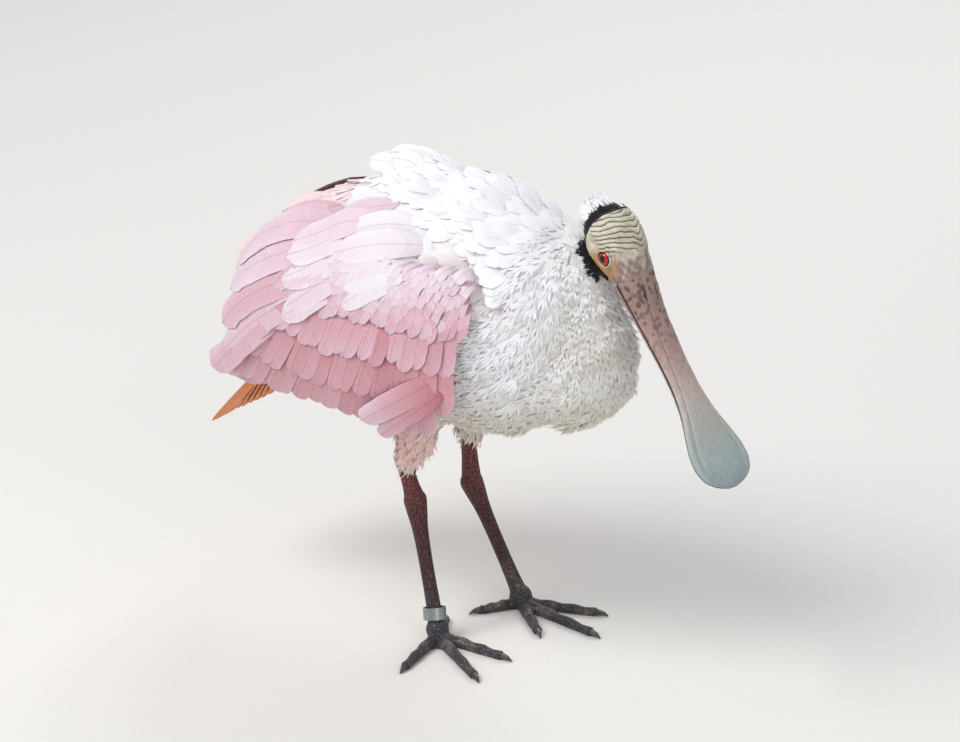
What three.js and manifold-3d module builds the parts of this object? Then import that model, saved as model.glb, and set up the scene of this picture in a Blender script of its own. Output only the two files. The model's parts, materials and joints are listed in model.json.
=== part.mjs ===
// Roseate spoonbill standing at rest, a still model at life size, in millimetres.
// +X is the way the body faces, +Y is the bird's left, +Z is up from the floor.
import * as THREE from 'three';
import { mergeVertices } from 'three/addons/utils/BufferGeometryUtils.js';
import Module from 'manifold-3d';

const wasm = await Module();
wasm.setup();

const { Vector3, MathUtils } = THREE;
const rad = MathUtils.degToRad;

// Driving dimensions

const GAP = 0.35; // between nodes that touch
const SIDES = { right: -1, left: 1 };

// The trunk under its small feathers, in sections across the body
const TRUNK = [
  { x: -206, top: 196, bottom: 160, halfWidth: 18 },
  { x: -190, top: 226, bottom: 158, halfWidth: 32 },
  { x: -165, top: 266, bottom: 163, halfWidth: 46 },
  { x: -135, top: 300, bottom: 165, halfWidth: 60 },
  { x: -100, top: 326, bottom: 163, halfWidth: 70 },
  { x: -62, top: 349, bottom: 160, halfWidth: 76 },
  { x: -25, top: 358, bottom: 157, halfWidth: 76 },
  { x: 20, top: 355, bottom: 156, halfWidth: 73 },
  { x: 60, top: 337, bottom: 168, halfWidth: 64 },
  { x: 85, top: 324, bottom: 186, halfWidth: 52 },
  { x: 100, top: 304, bottom: 212, halfWidth: 34 },
  { x: 106, top: 276, bottom: 244, halfWidth: 14 },
];
const RUMP_START = -60; // the rump lies behind this

// The smooth face that a folded wing follows, in sections across the body
const WING_GUIDE = [
  { x: -240, top: 204, bottom: 170, halfWidth: 29 },
  { x: -215, top: 236, bottom: 166, halfWidth: 44 },
  { x: -190, top: 268, bottom: 164, halfWidth: 54 },
  { x: -165, top: 300, bottom: 162, halfWidth: 62 },
  { x: -135, top: 320, bottom: 160, halfWidth: 70 },
  { x: -100, top: 332, bottom: 160, halfWidth: 75 },
  { x: -62, top: 352, bottom: 157, halfWidth: 79 },
  { x: -25, top: 361, bottom: 154, halfWidth: 79 },
  { x: 20, top: 358, bottom: 153, halfWidth: 76 },
  { x: 60, top: 340, bottom: 165, halfWidth: 67 },
];
const WING_FULLNESS = 0.4; // below its widest line a section is fuller than an ellipse, which is 1
const ARM_DEPTH = { under: 4, over: 2 }; // of the folded arm and hand, from the guide
const WING_CLEAR = 20; // half the space between the two wings, over the back

// The outline of the folded arm and hand seen from the side, as x and z
const ARM_OUTLINE = [
  [44, 256], [38, 224], [-10, 202], [-100, 202], [-160, 205], [-186, 232], [-158, 285], [-110, 314],
  [-66, 336], [0, 344], [24, 322],
];

// A vane's width along its length, as shares of its length and of its greatest width
const SHORT_VANE = [[0, 0.6], [0.45, 1], [0.87, 0.85], [1, 0.3]];
const LONG_VANE = [[0, 0.6], [0.3, 0.95], [0.62, 1], [0.9, 0.78], [1, 0.28]];
const VANE_THICKNESS = 0.8;
const VANE_THINNING = 0.35; // the share of its thickness that a vane loses towards its tip
const SHINGLE = rad(5); // how far a vane leans under the next one behind it

// The tiers of vanes on a folded wing, each from its first, foremost or uppermost vane to its last.
// A root's height is on the guide; a heading is 0 straight down and 90 straight back;
// a lift is the height over the guide at the root and from half way to the tip.
const WING_TIERS = {
  primaries: {
    count: 3, x: [-122, -112], z: [238, 212], length: [114, 110], width: [22, 22],
    heading: [66, 68], lift: [-1, 1.2], shape: LONG_VANE,
  },
  secondaries: {
    count: 10, x: [26, -150], z: [224, 224], length: [58, 62], width: [21.5, 15.5],
    heading: [6, 50], lift: [0, 3.9], shape: SHORT_VANE,
  },
  greaterCoverts: {
    count: 10, x: [32, -134], z: [246, 246], length: [45, 50], width: [20.5, 15],
    heading: [8, 46], lift: [0.8, 6.8], shape: SHORT_VANE,
  },
  medianCoverts: {
    count: 7, x: [36, -80], z: [268, 272], length: [38, 42], width: [21, 17],
    heading: [10, 38], lift: [0.8, 9.7], shape: SHORT_VANE,
  },
  tertials: {
    count: 5, x: [-70, -106], z: [304, 254], length: [118, 122], width: [22, 20],
    heading: [72, 60], lift: [0.8, 9.7], shape: LONG_VANE,
  },
  innerTertials: {
    count: 3, x: [-98, -84], z: [317, 302], length: [98, 108], width: [24, 22],
    heading: [92, 80], lift: [0.8, 7], shape: LONG_VANE,
  },
  rearScapulars: {
    count: 4, x: [-46, -56], z: [336, 298], length: [84, 80], width: [22, 22],
    heading: [80, 72], lift: [0.8, 12.2], shape: LONG_VANE,
  },
  frontScapulars: {
    count: 4, x: [6, -8], z: [342, 306], length: [84, 74], width: [22, 22],
    heading: [82, 70], lift: [0.8, 13.8], shape: LONG_VANE,
  },
  thumb: {
    count: 2, x: [38, 34], z: [236, 222], length: [98, 84], width: [15, 14],
    heading: [53, 50], lift: [1, 9.6], shape: LONG_VANE,
  },
};

// The neck, folded back on the breast, from inside the trunk up to the nape
const NECK = [
  { at: [74, -4, 214], r: 44 },
  { at: [93, -6, 222], r: 42 },
  { at: [103, -8, 245], r: 36 },
  { at: [99, -8, 272], r: 27 },
  { at: [97, -8, 300], r: 23 },
  { at: [101, -8, 326], r: 20 },
];

// The head in sections from the nape to the bill, along its own forward line
const HEAD_CENTRE = new Vector3(124.8, -12, 329);
const HEAD_TURN = rad(12); // to the bird's right
const HEAD_DROP = rad(45); // forehead and bill point down
const HEAD = [
  { along: -30, halfWidth: 3, up: 3, down: 3 },
  { along: -26.5, halfWidth: 10, up: 11, down: 10 },
  { along: -19, halfWidth: 15, up: 18, down: 16.5 },
  { along: -9, halfWidth: 18.3, up: 22, down: 21 },
  { along: 2, halfWidth: 19, up: 22.5, down: 22 },
  { along: 12, halfWidth: 18, up: 20, down: 20.5 },
  { along: 21, halfWidth: 16.5, up: 16.5, down: 18 },
  { along: 28, halfWidth: 15.6, up: 14, down: 15.5 },
  { along: 33, halfWidth: 15, up: 12.6, down: 13.6 },
];
const HEAD_LENGTH = 33; // from its centre to the root of the bill

// Eyes, from the head's centre: forward and down its own lines, and out from its midline
const EYE = { along: 11.6, out: 12.4, up: -1, radius: 7.2 };
const LID = { radius: 6.2, thickness: 1.4, out: 4.6 };
const EAR = { along: -11, out: 17.5, up: -7, length: 3.4, width: 2.2 };

// The bill in sections along the line of the mouth
const BILL_TIP = new Vector3(245, -40, 177);
const MOUTH_BELOW = 6; // the mouth's line at the bill's root, under the head's centre line
const BILL = [
  { t: 0, halfWidth: 15, upper: 18.4, lower: 7.4 },
  { t: 0.08, halfWidth: 14.4, upper: 14, lower: 6.4 },
  { t: 0.16, halfWidth: 13.6, upper: 10, lower: 5.4 },
  { t: 0.28, halfWidth: 12.8, upper: 7.4, lower: 4.4 },
  { t: 0.43, halfWidth: 12, upper: 5.6, lower: 3.8 },
  { t: 0.55, halfWidth: 13, upper: 4.8, lower: 3.4 },
  { t: 0.65, halfWidth: 16, upper: 4.2, lower: 3 },
  { t: 0.75, halfWidth: 21.5, upper: 3.6, lower: 2.8 },
  { t: 0.84, halfWidth: 25.4, upper: 3.2, lower: 2.6 },
  { t: 0.91, halfWidth: 24.6, upper: 2.9, lower: 2.4 },
  { t: 0.96, halfWidth: 19, upper: 2.6, lower: 2.1 },
  { t: 0.99, halfWidth: 10, upper: 2.1, lower: 1.7 },
  { t: 1, halfWidth: 4.4, upper: 1.4, lower: 1.2 },
];
const MOUTH_GAP = 0.8; // between the two halves of the bill
const NOSTRIL = { along: 15, out: 5.2, up: 9.4, length: 6, width: 1.1, depth: 2.4 };

// Legs, from the feathered thigh down to the joint of the toes
const LEGS = {
  right: { thigh: [-26, -29, 188], exit: [-47, -27, 121], hock: [-39, -27, 99], foot: [-7, -44, 9] },
  left: { thigh: [-18, 29, 188], exit: [-29, 27, 133], hock: [-26, 27, 99], foot: [7, 44, 9] },
};
const THIGH_RADII = [23, 20, 14, 7.6];
const TIBIA_RADIUS = 5.8;
const HOCK_RADIUS = 8.8;
const TARSUS_RADIUS = 5;
const PAD_RADIUS = 8.6; // the swelling where the toes meet

// Each toe's way, from +X towards the bird's left, and its length without the claw
const TOES = {
  right: { inner: [-2, 59], middle: [-34, 76], outer: [-78, 59], hind: [115, 33] },
  left: { inner: [-42, 54], middle: [-12, 76], outer: [18, 59], hind: [-122, 33] },
};
const TOE_RADII = [4.6, 3.3];
const TOE_START = 5; // from the joint
const SOLE = 0.7; // how much of a toe's round is flattened on the floor
const CLAW_LENGTH = 9;
const WEB = { start: 10, reach: 25, hollow: 16, bottom: 0.4, thickness: 2 };

// The ring on the right leg lies low and loose, against the front of it
const RING = { inner: 7.4, wall: 1.2, height: 9, up: 0.125, tilt: rad(8) };

// The tail, folded, from under the rump: its outer vanes lie lowest
const TAIL = { root: [-164, 0, 196], tip: [-228, 0, 122], count: 10, width: 17, spread: 17, fan: rad(17) };
// How far the vanes lie under the tail's own line in the middle and at the sides, how far every
// second one is raised, and the share by which the outer ones are shorter
const TAIL_STACK = { below: 2, step: 2.6, stagger: 0.5, rounding: 0.07 };
// The fleshy core of the tail; its start and length are shares of the tail's length
const TAIL_CORE = { halfWidth: 19, halfHeight: 7, taper: 0.75, start: 0.1, length: 0.42 };

// Loose feathers of the mantle that stand up behind the shoulders
const MANTLE = [
  { x: -36, y: -13, heading: 8, rise: 15, length: 42 },
  { x: -44, y: 3, heading: -3, rise: 12, length: 46 },
  { x: -38, y: 13, heading: -10, rise: 9, length: 42 },
  { x: -58, y: -9, heading: 5, rise: 9, length: 44 },
  { x: -62, y: 9, heading: -6, rise: 7, length: 44 },
];
const MANTLE_WIDTH = 17;
// How deep a loose feather is rooted in the back, how far round it arches and how far its tip droops
const MANTLE_BEND = { depth: 3, arch: 0.62, droop: 4 };
const BACK_MIDDLE = 257; // the height of the trunk's widest line below the mantle

const finish = (color, roughness, metalness = 0) =>
  new THREE.MeshStandardMaterial({ color, roughness, metalness });
const FINISHES = {
  whiteFeathers: finish('#edeff4', 0.9),
  pinkFeathers: finish('#d9a0ac', 0.85),
  tailFeathers: finish('#d9763a', 0.85),
  headSkin: finish('#c9c4a4', 0.6),
  bill: finish('#8fa0a5', 0.5),
  eye: finish('#8e1a16', 0.1),
  legSkin: finish('#6a3034', 0.6),
  footSkin: finish('#3c3a3e', 0.7),
  claw: finish('#26242a', 0.45),
  ring: finish('#8e9492', 0.4, 0.9),
};

// Solids

// A closed geometry as a solid, with its faces turned outwards.
function solid(geometry) {
  geometry.deleteAttribute('normal');
  geometry.deleteAttribute('uv');
  const { index, attributes } = mergeVertices(geometry);
  const build = (triVerts) =>
    new wasm.Manifold(new wasm.Mesh({ numProp: 3, vertProperties: attributes.position.array, triVerts }));
  const triangles = Uint32Array.from(index.array);
  const made = build(triangles);
  return made.volume() > 0 ? made : build(triangles.reverse());
}

// Moves each corner of a geometry to the place that a function gives for it.
function reshape(geometry, place) {
  const corners = geometry.attributes.position;
  const corner = new Vector3();
  for (let i = 0; i < corners.count; i++) {
    corner.fromBufferAttribute(corners, i);
    corners.setXYZ(i, ...place(corner).toArray());
  }
  return solid(geometry);
}

// A closed cylinder reshaped: place(t, angle, r) has t from 0 to 1 along it, and r is 1 on its skin.
function loft(sides, steps, place) {
  const shape = new THREE.CylinderGeometry(1, 1, 1, sides, steps);
  return reshape(shape, ({ x, y, z }) => place(y + 0.5, Math.atan2(x, z), Math.hypot(x, z)));
}

function ball(centre, radius, sides = 16) {
  return solid(new THREE.SphereGeometry(radius, sides, sides / 2).translate(...centre.toArray()));
}

// Everything on one side of a plane, far enough to cut the whole bird.
function halfSpace(point, direction) {
  const size = 1500;
  const block = new THREE.BoxGeometry(size, size, size).translate(0, 0, size / 2);
  block.applyQuaternion(new THREE.Quaternion().setFromUnitVectors(new Vector3(0, 0, 1), direction));
  return solid(block.translate(...point.toArray()));
}

const join = (pieces) => pieces.reduce((whole, piece) => whole.add(piece));

const largest = (made) =>
  made.decompose().reduce((best, piece) => (piece.volume() > best.volume() ? piece : best));

// A function that gives a smooth value of every field at any place along rows of sizes.
function sizesAlong(rows, key) {
  const fields = Object.keys(rows[0]).filter((name) => name !== key);
  const slope = (i, name) => {
    const before = rows[Math.max(0, i - 1)];
    const after = rows[Math.min(rows.length - 1, i + 1)];
    return (after[name] - before[name]) / (after[key] - before[key]);
  };
  return (place) => {
    const at = MathUtils.clamp(place, rows[0][key], rows.at(-1)[key]);
    const i = Math.min(rows.length - 2, Math.max(0, rows.findIndex((row) => row[key] > at) - 1));
    const last = at >= rows.at(-1)[key] ? rows.length - 2 : i;
    const [from, to] = [rows[last], rows[last + 1]];
    const span = to[key] - from[key];
    const t = (at - from[key]) / span;
    const value = (name) =>
      from[name] * (1 + 2 * t) * (1 - t) ** 2 +
      to[name] * t * t * (3 - 2 * t) +
      span * slope(last, name) * t * (1 - t) ** 2 -
      span * slope(last + 1, name) * t * t * (1 - t);
    return Object.fromEntries(fields.map((name) => [name, value(name)]));
  };
}

// A round tube through stations of a place and a radius.
function tube(stations, sides, steps, grow = 0) {
  const path = new THREE.CatmullRomCurve3(stations.map(({ at }) => new Vector3(...at)));
  const radiusAt = sizesAlong(stations.map(({ r }, i) => ({ i, r })), 'i');
  const level = new Vector3(0, 1, 0);
  return loft(sides, steps, (t, angle, r) => {
    const way = path.getTangent(t);
    const across = level.clone().addScaledVector(way, -level.dot(way)).normalize();
    const up = way.clone().cross(across);
    const size = r * (radiusAt(t * (stations.length - 1)).r + grow);
    return path
      .getPoint(t)
      .addScaledVector(across, size * Math.cos(angle))
      .addScaledVector(up, size * Math.sin(angle));
  });
}

// Trunk

const trunkAt = sizesAlong(TRUNK, 'x');

// A point of the trunk's skin: the angle runs from the top of the back down each side.
function trunkPoint(x, angle, out = 0, r = 1) {
  const { top, bottom, halfWidth } = trunkAt(x);
  const y = r * (halfWidth + out) * Math.sin(angle);
  const z = (top + bottom) / 2 + r * ((top - bottom) / 2 + out) * Math.cos(angle);
  return new Vector3(x, y, z);
}

function trunk(out) {
  const [rear, front] = [TRUNK[0].x, TRUNK.at(-1).x];
  return loft(24, 16, (t, angle, r) => {
    const point = trunkPoint(MathUtils.lerp(rear, front, t), angle, out, r);
    return point.setX(MathUtils.lerp(rear - out, front + out, t));
  });
}

const trunkGrown = trunk(GAP);
const ahead = new Vector3(1, 0, 0);
const behind = new Vector3(-1, 0, 0);

// A loose feather of the mantle rises from the back, bends over and lies back down.
function mantleVane({ x, y, heading, rise, length }) {
  const { top, halfWidth } = trunkAt(x);
  const fall = (top - BACK_MIDDLE) * (1 - Math.sqrt(1 - (y / halfWidth) ** 2));
  const start = new Vector3(x, y, top - MANTLE_BEND.depth - fall);
  const way = new Vector3(-Math.cos(rad(heading)), -Math.sin(rad(heading)), 0);
  const places = LONG_VANE.map(([t, share]) => {
    const height = rise * Math.sin(Math.PI * MANTLE_BEND.arch * t) - MANTLE_BEND.droop * t * t;
    const at = start.clone().addScaledVector(way, length * t).add(new Vector3(0, 0, height));
    return { at, normal: new Vector3(0, 0, 1), half: (share * MANTLE_WIDTH) / 2 };
  });
  return vane(places, 0);
}

function torso() {
  const front = trunk(0).subtract(halfSpace(new Vector3(RUMP_START, 0, 0), behind));
  const vanes = join(MANTLE.map(mantleVane)).subtract(rumpPart(GAP));
  return largest(front.add(vanes));
}

function rumpPart(out) {
  return trunk(out).subtract(halfSpace(new Vector3(RUMP_START - GAP + out, 0, 0), ahead));
}

// Wings

const guideAt = sizesAlong(WING_GUIDE, 'x');

// A point of the face that the wing follows, with the angle from the back down one side.
function guidePoint(x, angle, out = 0, r = 1) {
  const { top, bottom, halfWidth } = guideAt(x);
  const sine = Math.abs(Math.sin(angle));
  const wide = Math.cos(angle) < 0 ? sine ** WING_FULLNESS : sine;
  const y = r * (halfWidth + out) * wide * Math.sign(angle);
  const z = (top + bottom) / 2 + r * ((top - bottom) / 2 + out) * Math.cos(angle);
  return new Vector3(x, y, z);
}

function guideSolid(out) {
  const [rear, front] = [WING_GUIDE[0].x, WING_GUIDE.at(-1).x];
  return loft(24, 14, (t, angle, r) => guidePoint(MathUtils.lerp(rear, front, t), angle, out, r));
}

// A slab with an outline of x and z, on one side of the bird from a distance outwards.
function sideSlab(outline, side, from) {
  const shape = new THREE.Shape(outline.map(([x, z]) => new THREE.Vector2(x, z)));
  const depth = 200;
  const slab = new THREE.ExtrudeGeometry(shape, { depth, bevelEnabled: false });
  slab.rotateX(Math.PI / 2).translate(0, side > 0 ? from + depth : -from, 0);
  return solid(slab);
}

// A flat tapered vane through places, each with its normal and half width, leaning to one side.
// Both faces are split alike.
function vane(places, lean) {
  const corners = [];
  const triangles = [];
  places.forEach(({ at, normal, half }, i) => {
    const next = places[Math.min(i + 1, places.length - 1)].at;
    const along = next.clone().sub(places[Math.max(i - 1, 0)].at).normalize();
    const flat = along.clone().cross(normal).normalize();
    const out = flat.clone().cross(along);
    const across = flat.clone().multiplyScalar(Math.cos(lean)).addScaledVector(out, Math.sin(lean));
    const up = across.clone().cross(along);
    const deep = (VANE_THICKNESS * (1 - (VANE_THINNING * i) / places.length)) / 2;
    for (const [a, b] of [[-1, -1], [1, -1], [1, 1], [-1, 1]]) {
      const corner = at.clone().addScaledVector(across, a * half).addScaledVector(up, b * deep);
      corners.push(...corner.toArray());
    }
    if (i === 0) return;
    const [a, b] = [4 * i - 4, 4 * i];
    triangles.push(a, b, b + 1, a, b + 1, a + 1);
    triangles.push(a + 3, b + 2, b + 3, a + 3, a + 2, b + 2);
    triangles.push(a + 1, b + 1, b + 2, a + 1, b + 2, a + 2);
    triangles.push(a, b + 3, b, a, a + 3, b + 3);
  });
  const end = 4 * places.length - 4;
  triangles.push(0, 1, 2, 0, 2, 3, end, end + 2, end + 1, end, end + 3, end + 2);
  const geometry = new THREE.BufferGeometry();
  geometry.setAttribute('position', new THREE.Float32BufferAttribute(corners, 3));
  geometry.setIndex(triangles);
  return solid(geometry);
}

// Places along a wing vane, marched over the guide from its root in short steps.
function wingPlaces(side, { x, z, length, width, heading, lift, shape }) {
  const { top, bottom } = guideAt(x);
  let angle = Math.acos(MathUtils.clamp((2 * z - top - bottom) / (top - bottom), -1, 1));
  let along = x;
  let reached = 0;
  return shape.map(([t, share]) => {
    const steps = 4;
    const step = ((t - reached) * length) / steps;
    for (let i = 0; i < steps; i++) {
      const slopeX = guidePoint(along + 1, angle).distanceTo(guidePoint(along - 1, angle)) / 2;
      const slopeAngle = guidePoint(along, angle + 0.01).distanceTo(guidePoint(along, angle - 0.01)) / 0.02;
      along -= (step * Math.sin(heading)) / slopeX;
      angle += (step * Math.cos(heading)) / slopeAngle;
    }
    reached = t;
    const at = guidePoint(along, side * angle);
    const back = guidePoint(along - 1, side * angle).sub(at);
    const down = guidePoint(along, side * (angle + 0.01)).sub(at);
    const normal = down.cross(back).multiplyScalar(side).normalize();
    const rise = MathUtils.lerp(lift[0], lift[1], MathUtils.smoothstep(t, 0, 0.5));
    return { at: at.addScaledVector(normal, rise), normal, half: (share * width) / 2 };
  });
}

function tierVanes(side, tier) {
  return Array.from({ length: tier.count }, (_, i) => {
    const mix = ([first, last]) => MathUtils.lerp(first, last, i / (tier.count - 1));
    const root = { x: mix(tier.x), z: mix(tier.z), length: mix(tier.length), width: mix(tier.width) };
    const places = wingPlaces(side, { ...tier, ...root, heading: rad(mix(tier.heading)) });
    return vane(places, side * SHINGLE);
  });
}

// The arm and hand are one curved slab, and every vane is rooted in it.
function wing(side) {
  const slab = sideSlab(ARM_OUTLINE, side, WING_CLEAR);
  const arm = guideSolid(ARM_DEPTH.over).subtract(guideSolid(-ARM_DEPTH.under)).intersect(slab);
  const vanes = Object.values(WING_TIERS).flatMap((tier) => tierVanes(side, tier));
  return largest(join([arm, ...vanes]).subtract(trunkGrown));
}

// Tail

// The tail's vanes are fanned and stacked, the middle one on top.
function tail() {
  const root = new Vector3(...TAIL.root);
  const tip = new Vector3(...TAIL.tip);
  const way = tip.clone().sub(root);
  const up = way.clone().cross(new Vector3(0, 1, 0)).normalize();
  if (up.z < 0) up.negate();
  const core = loft(12, 5, (t, angle, r) => {
    const size = 1 - TAIL_CORE.taper * t * t;
    const reach = TAIL_CORE.length * t - TAIL_CORE.start;
    const place = root.clone().addScaledVector(way, reach).addScaledVector(up, -TAIL_STACK.below);
    place.y += TAIL_CORE.halfWidth * size * r * Math.sin(angle);
    return place.addScaledVector(up, TAIL_CORE.halfHeight * size * r * Math.cos(angle));
  });
  const vanes = Array.from({ length: TAIL.count }, (_, i) => {
    const place = (2 * i) / (TAIL.count - 1) - 1;
    const heading = way.clone().applyAxisAngle(up, -place * TAIL.fan);
    const height = TAIL_STACK.stagger * (i % 2) - TAIL_STACK.below - TAIL_STACK.step * Math.abs(place);
    const start = root.clone().addScaledVector(up, height);
    start.y += place * TAIL.spread;
    const places = SHORT_VANE.map(([t, share]) => ({
      at: start.clone().addScaledVector(heading, t * (1 - TAIL_STACK.rounding * place * place)),
      normal: up,
      half: (share * TAIL.width) / 2,
    }));
    return vane(places, -place * SHINGLE);
  });
  return largest(join([core, ...vanes]).subtract(trunkGrown));
}

// Head

const headForward = new Vector3(
  Math.cos(HEAD_DROP) * Math.cos(HEAD_TURN),
  -Math.cos(HEAD_DROP) * Math.sin(HEAD_TURN),
  -Math.sin(HEAD_DROP),
);
const headLeft = new Vector3(Math.sin(HEAD_TURN), Math.cos(HEAD_TURN), 0);
const headUp = headForward.clone().cross(headLeft);

// A point in the head's own lines.
function headPoint(along, left, up) {
  return HEAD_CENTRE.clone()
    .addScaledVector(headForward, along)
    .addScaledVector(headLeft, left)
    .addScaledVector(headUp, up);
}

const headAt = sizesAlong(HEAD, 'along');

function skull(out) {
  const [nape, front] = [HEAD[0].along, HEAD.at(-1).along];
  return loft(18, 12, (t, angle, r) => {
    const along = MathUtils.lerp(nape, front, t);
    const { halfWidth, up, down } = headAt(along);
    const height = Math.cos(angle) > 0 ? up : down;
    const grown = MathUtils.lerp(nape - out, front + out, t);
    return headPoint(grown, r * (halfWidth + out) * Math.sin(angle), r * (height + out) * Math.cos(angle));
  });
}

const eyeCentre = (side) => headPoint(EYE.along, side * EYE.out, EYE.up);

function lid(side) {
  const ring = new THREE.TorusGeometry(LID.radius, LID.thickness, 6, 14);
  const outward = headLeft.clone().multiplyScalar(side);
  ring.applyQuaternion(new THREE.Quaternion().setFromUnitVectors(new Vector3(0, 0, 1), outward));
  const centre = eyeCentre(side).addScaledVector(outward, LID.out);
  return solid(ring.translate(...centre.toArray()));
}

// A long hollow with its own width and depth, to be cut along the head's lines.
function hollow(centre, length, depth, width, forward, left, up) {
  const shape = new THREE.SphereGeometry(1, 8, 6).scale(length, depth, width);
  shape.applyMatrix4(new THREE.Matrix4().makeBasis(forward, left, up));
  return solid(shape.translate(...centre.toArray()));
}

function head() {
  let made = skull(0);
  for (const side of Object.values(SIDES)) {
    const ear = headPoint(EAR.along, side * EAR.out, EAR.up);
    made = made.add(lid(side)).subtract(ball(eyeCentre(side), EYE.radius + GAP, 14));
    made = made.subtract(hollow(ear, EAR.width, 3, EAR.length, headForward, headLeft, headUp));
  }
  return largest(made);
}

function neck() {
  return largest(tube(NECK, 18, 11).subtract(trunkGrown).subtract(skull(GAP)));
}

// Bill

const billRoot = headPoint(HEAD_LENGTH, 0, -MOUTH_BELOW);
const billWay = BILL_TIP.clone().sub(billRoot).normalize();
const billUp = billWay.clone().cross(headLeft).normalize();
const billLength = BILL_TIP.distanceTo(billRoot);
const billAt = sizesAlong(BILL, 't');

// A point of the bill: how far along its mouth, to the left of it and up from it.
function billPoint(along, left, up) {
  return billRoot
    .clone()
    .addScaledVector(billWay, along)
    .addScaledVector(headLeft, left)
    .addScaledVector(billUp, up);
}

// Half of the bill, with a flat face on the mouth's line and a low arch on the other side.
function mandible(field, facing) {
  const hidden = 0.07; // how much of its length starts inside the head, before the cut
  const bill = loft(12, 18, (t, angle, r) => {
    const place = MathUtils.lerp(-hidden, 1, Math.sin((t * Math.PI) / 2) ** 0.9);
    const sizes = billAt(place);
    const arch = Math.max(0, Math.cos(angle)) ** 0.8 * sizes[field];
    const up = facing * (MOUTH_GAP / 2 + r * arch);
    return billPoint(place * billLength, r * sizes.halfWidth * Math.sin(angle), up);
  });
  return bill.subtract(halfSpace(headPoint(HEAD_LENGTH + GAP, 0, 0), headForward.clone().negate()));
}

function billUpper() {
  let made = mandible('upper', 1);
  for (const side of Object.values(SIDES)) {
    const centre = billPoint(NOSTRIL.along, side * NOSTRIL.out, NOSTRIL.up);
    const { length, width, depth } = NOSTRIL;
    made = made.subtract(hollow(centre, length, width, depth, billWay, headLeft, billUp));
  }
  return largest(made);
}

const billLower = () => largest(mandible('lower', -1));

// Legs

const between = (from, to, t) => new Vector3(...from).lerp(new Vector3(...to), t).toArray();

function tibia({ exit, hock }, grow = 0) {
  const stations = [
    { at: between(exit, hock, -0.5), r: TIBIA_RADIUS + 1 },
    { at: exit, r: TIBIA_RADIUS },
    { at: between(exit, hock, 0.55), r: TIBIA_RADIUS + 0.5 },
    { at: hock, r: HOCK_RADIUS - 0.8 },
  ];
  return tube(stations, 10, 6, grow);
}

function thigh(leg) {
  const stations = THIGH_RADII.map((r, i) => ({
    at: between(leg.thigh, leg.exit, i / (THIGH_RADII.length - 1)),
    r,
  }));
  return largest(tube(stations, 14, 6).subtract(trunkGrown).subtract(tibia(leg, GAP)));
}

function tarsusTube({ hock, foot }, grow = 0) {
  const stations = [
    { at: hock, r: HOCK_RADIUS },
    { at: between(hock, foot, 0.11), r: HOCK_RADIUS - 1.4 },
    { at: between(hock, foot, 0.24), r: TARSUS_RADIUS + 0.7 },
    { at: between(hock, foot, 0.55), r: TARSUS_RADIUS },
    { at: between(hock, foot, 0.86), r: TARSUS_RADIUS + 0.5 },
    { at: between(hock, foot, 0.95), r: TARSUS_RADIUS + 1.4 },
  ];
  return tube(stations, 10, 9, grow);
}

// The hock is the round upper end of the tarsus.
function tarsus(leg, grow = 0) {
  return tarsusTube(leg, grow).add(ball(new Vector3(...leg.hock), HOCK_RADIUS + grow, 10));
}

const floor = halfSpace(new Vector3(0, 0, 0), new Vector3(0, 0, -1));

function toePoint(foot, turn, distance, z) {
  return new Vector3(foot[0] + distance * Math.cos(turn), foot[1] + distance * Math.sin(turn), z);
}

// A toe thickens at its joints, and its underside is flat on the floor.
function toe(foot, [degrees, length], grow = 0) {
  const turn = rad(degrees);
  const stations = Array.from({ length: 7 }, (_, i) => {
    const t = i / 6;
    const knuckle = 0.3 * Math.cos(6 * Math.PI * t);
    const r = MathUtils.lerp(...TOE_RADII, t) + knuckle;
    return { at: toePoint(foot, turn, MathUtils.lerp(TOE_START, length, t), r - SOLE), r };
  });
  return tube(stations, 7, 6, grow).subtract(floor);
}

function claw(foot, [degrees, length]) {
  const turn = rad(degrees);
  const root = TOE_RADII[1] * 0.8;
  const station = (t, r, z) => ({ at: toePoint(foot, turn, length + GAP + CLAW_LENGTH * t, z), r });
  const stations = [
    station(0, root, root + 0.3),
    station(0.5, root * 0.72, root),
    station(1, root * 0.18, root * 0.3),
  ];
  return largest(tube(stations, 6, 4).subtract(floor));
}

const pad = (foot, grow = 0) => ball(new Vector3(...foot), PAD_RADIUS + grow, 12).subtract(floor);

// The skin stretched between the roots of two front toes, clear of the second one.
function web(foot, [degreesA], second) {
  const [from, to] = [rad(degreesA), rad(second[0])];
  const corners = [
    toePoint(foot, from, WEB.start, 0),
    toePoint(foot, from, WEB.reach, 0),
    toePoint(foot, (from + to) / 2, WEB.hollow, 0),
    toePoint(foot, to, WEB.reach, 0),
  ].map(({ x, y }) => new THREE.Vector2(x, y));
  const options = { depth: WEB.thickness, bevelEnabled: false };
  const skin = new THREE.ExtrudeGeometry(new THREE.Shape(corners), options).translate(0, 0, WEB.bottom);
  return solid(skin).subtract(toe(foot, second, GAP));
}

// Each toe keeps to its own side of the line half way to the next one. The middle one has the webs.
function toeSolid(leg, toes, name) {
  const { foot } = leg;
  const way = ([degrees]) => toePoint([0, 0], rad(degrees), 1, 0);
  let made = toe(foot, toes[name]);
  for (const other of Object.values(toes)) {
    if (other === toes[name]) continue;
    const across = way(other).sub(way(toes[name])).normalize();
    made = made.subtract(halfSpace(new Vector3(...foot).addScaledVector(across, -GAP / 2), across));
  }
  if (name === 'middle') {
    made = join([made, web(foot, toes.middle, toes.inner), web(foot, toes.middle, toes.outer)]);
  }
  return largest(made.subtract(pad(foot, GAP)).subtract(tarsus(leg, GAP)));
}

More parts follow.
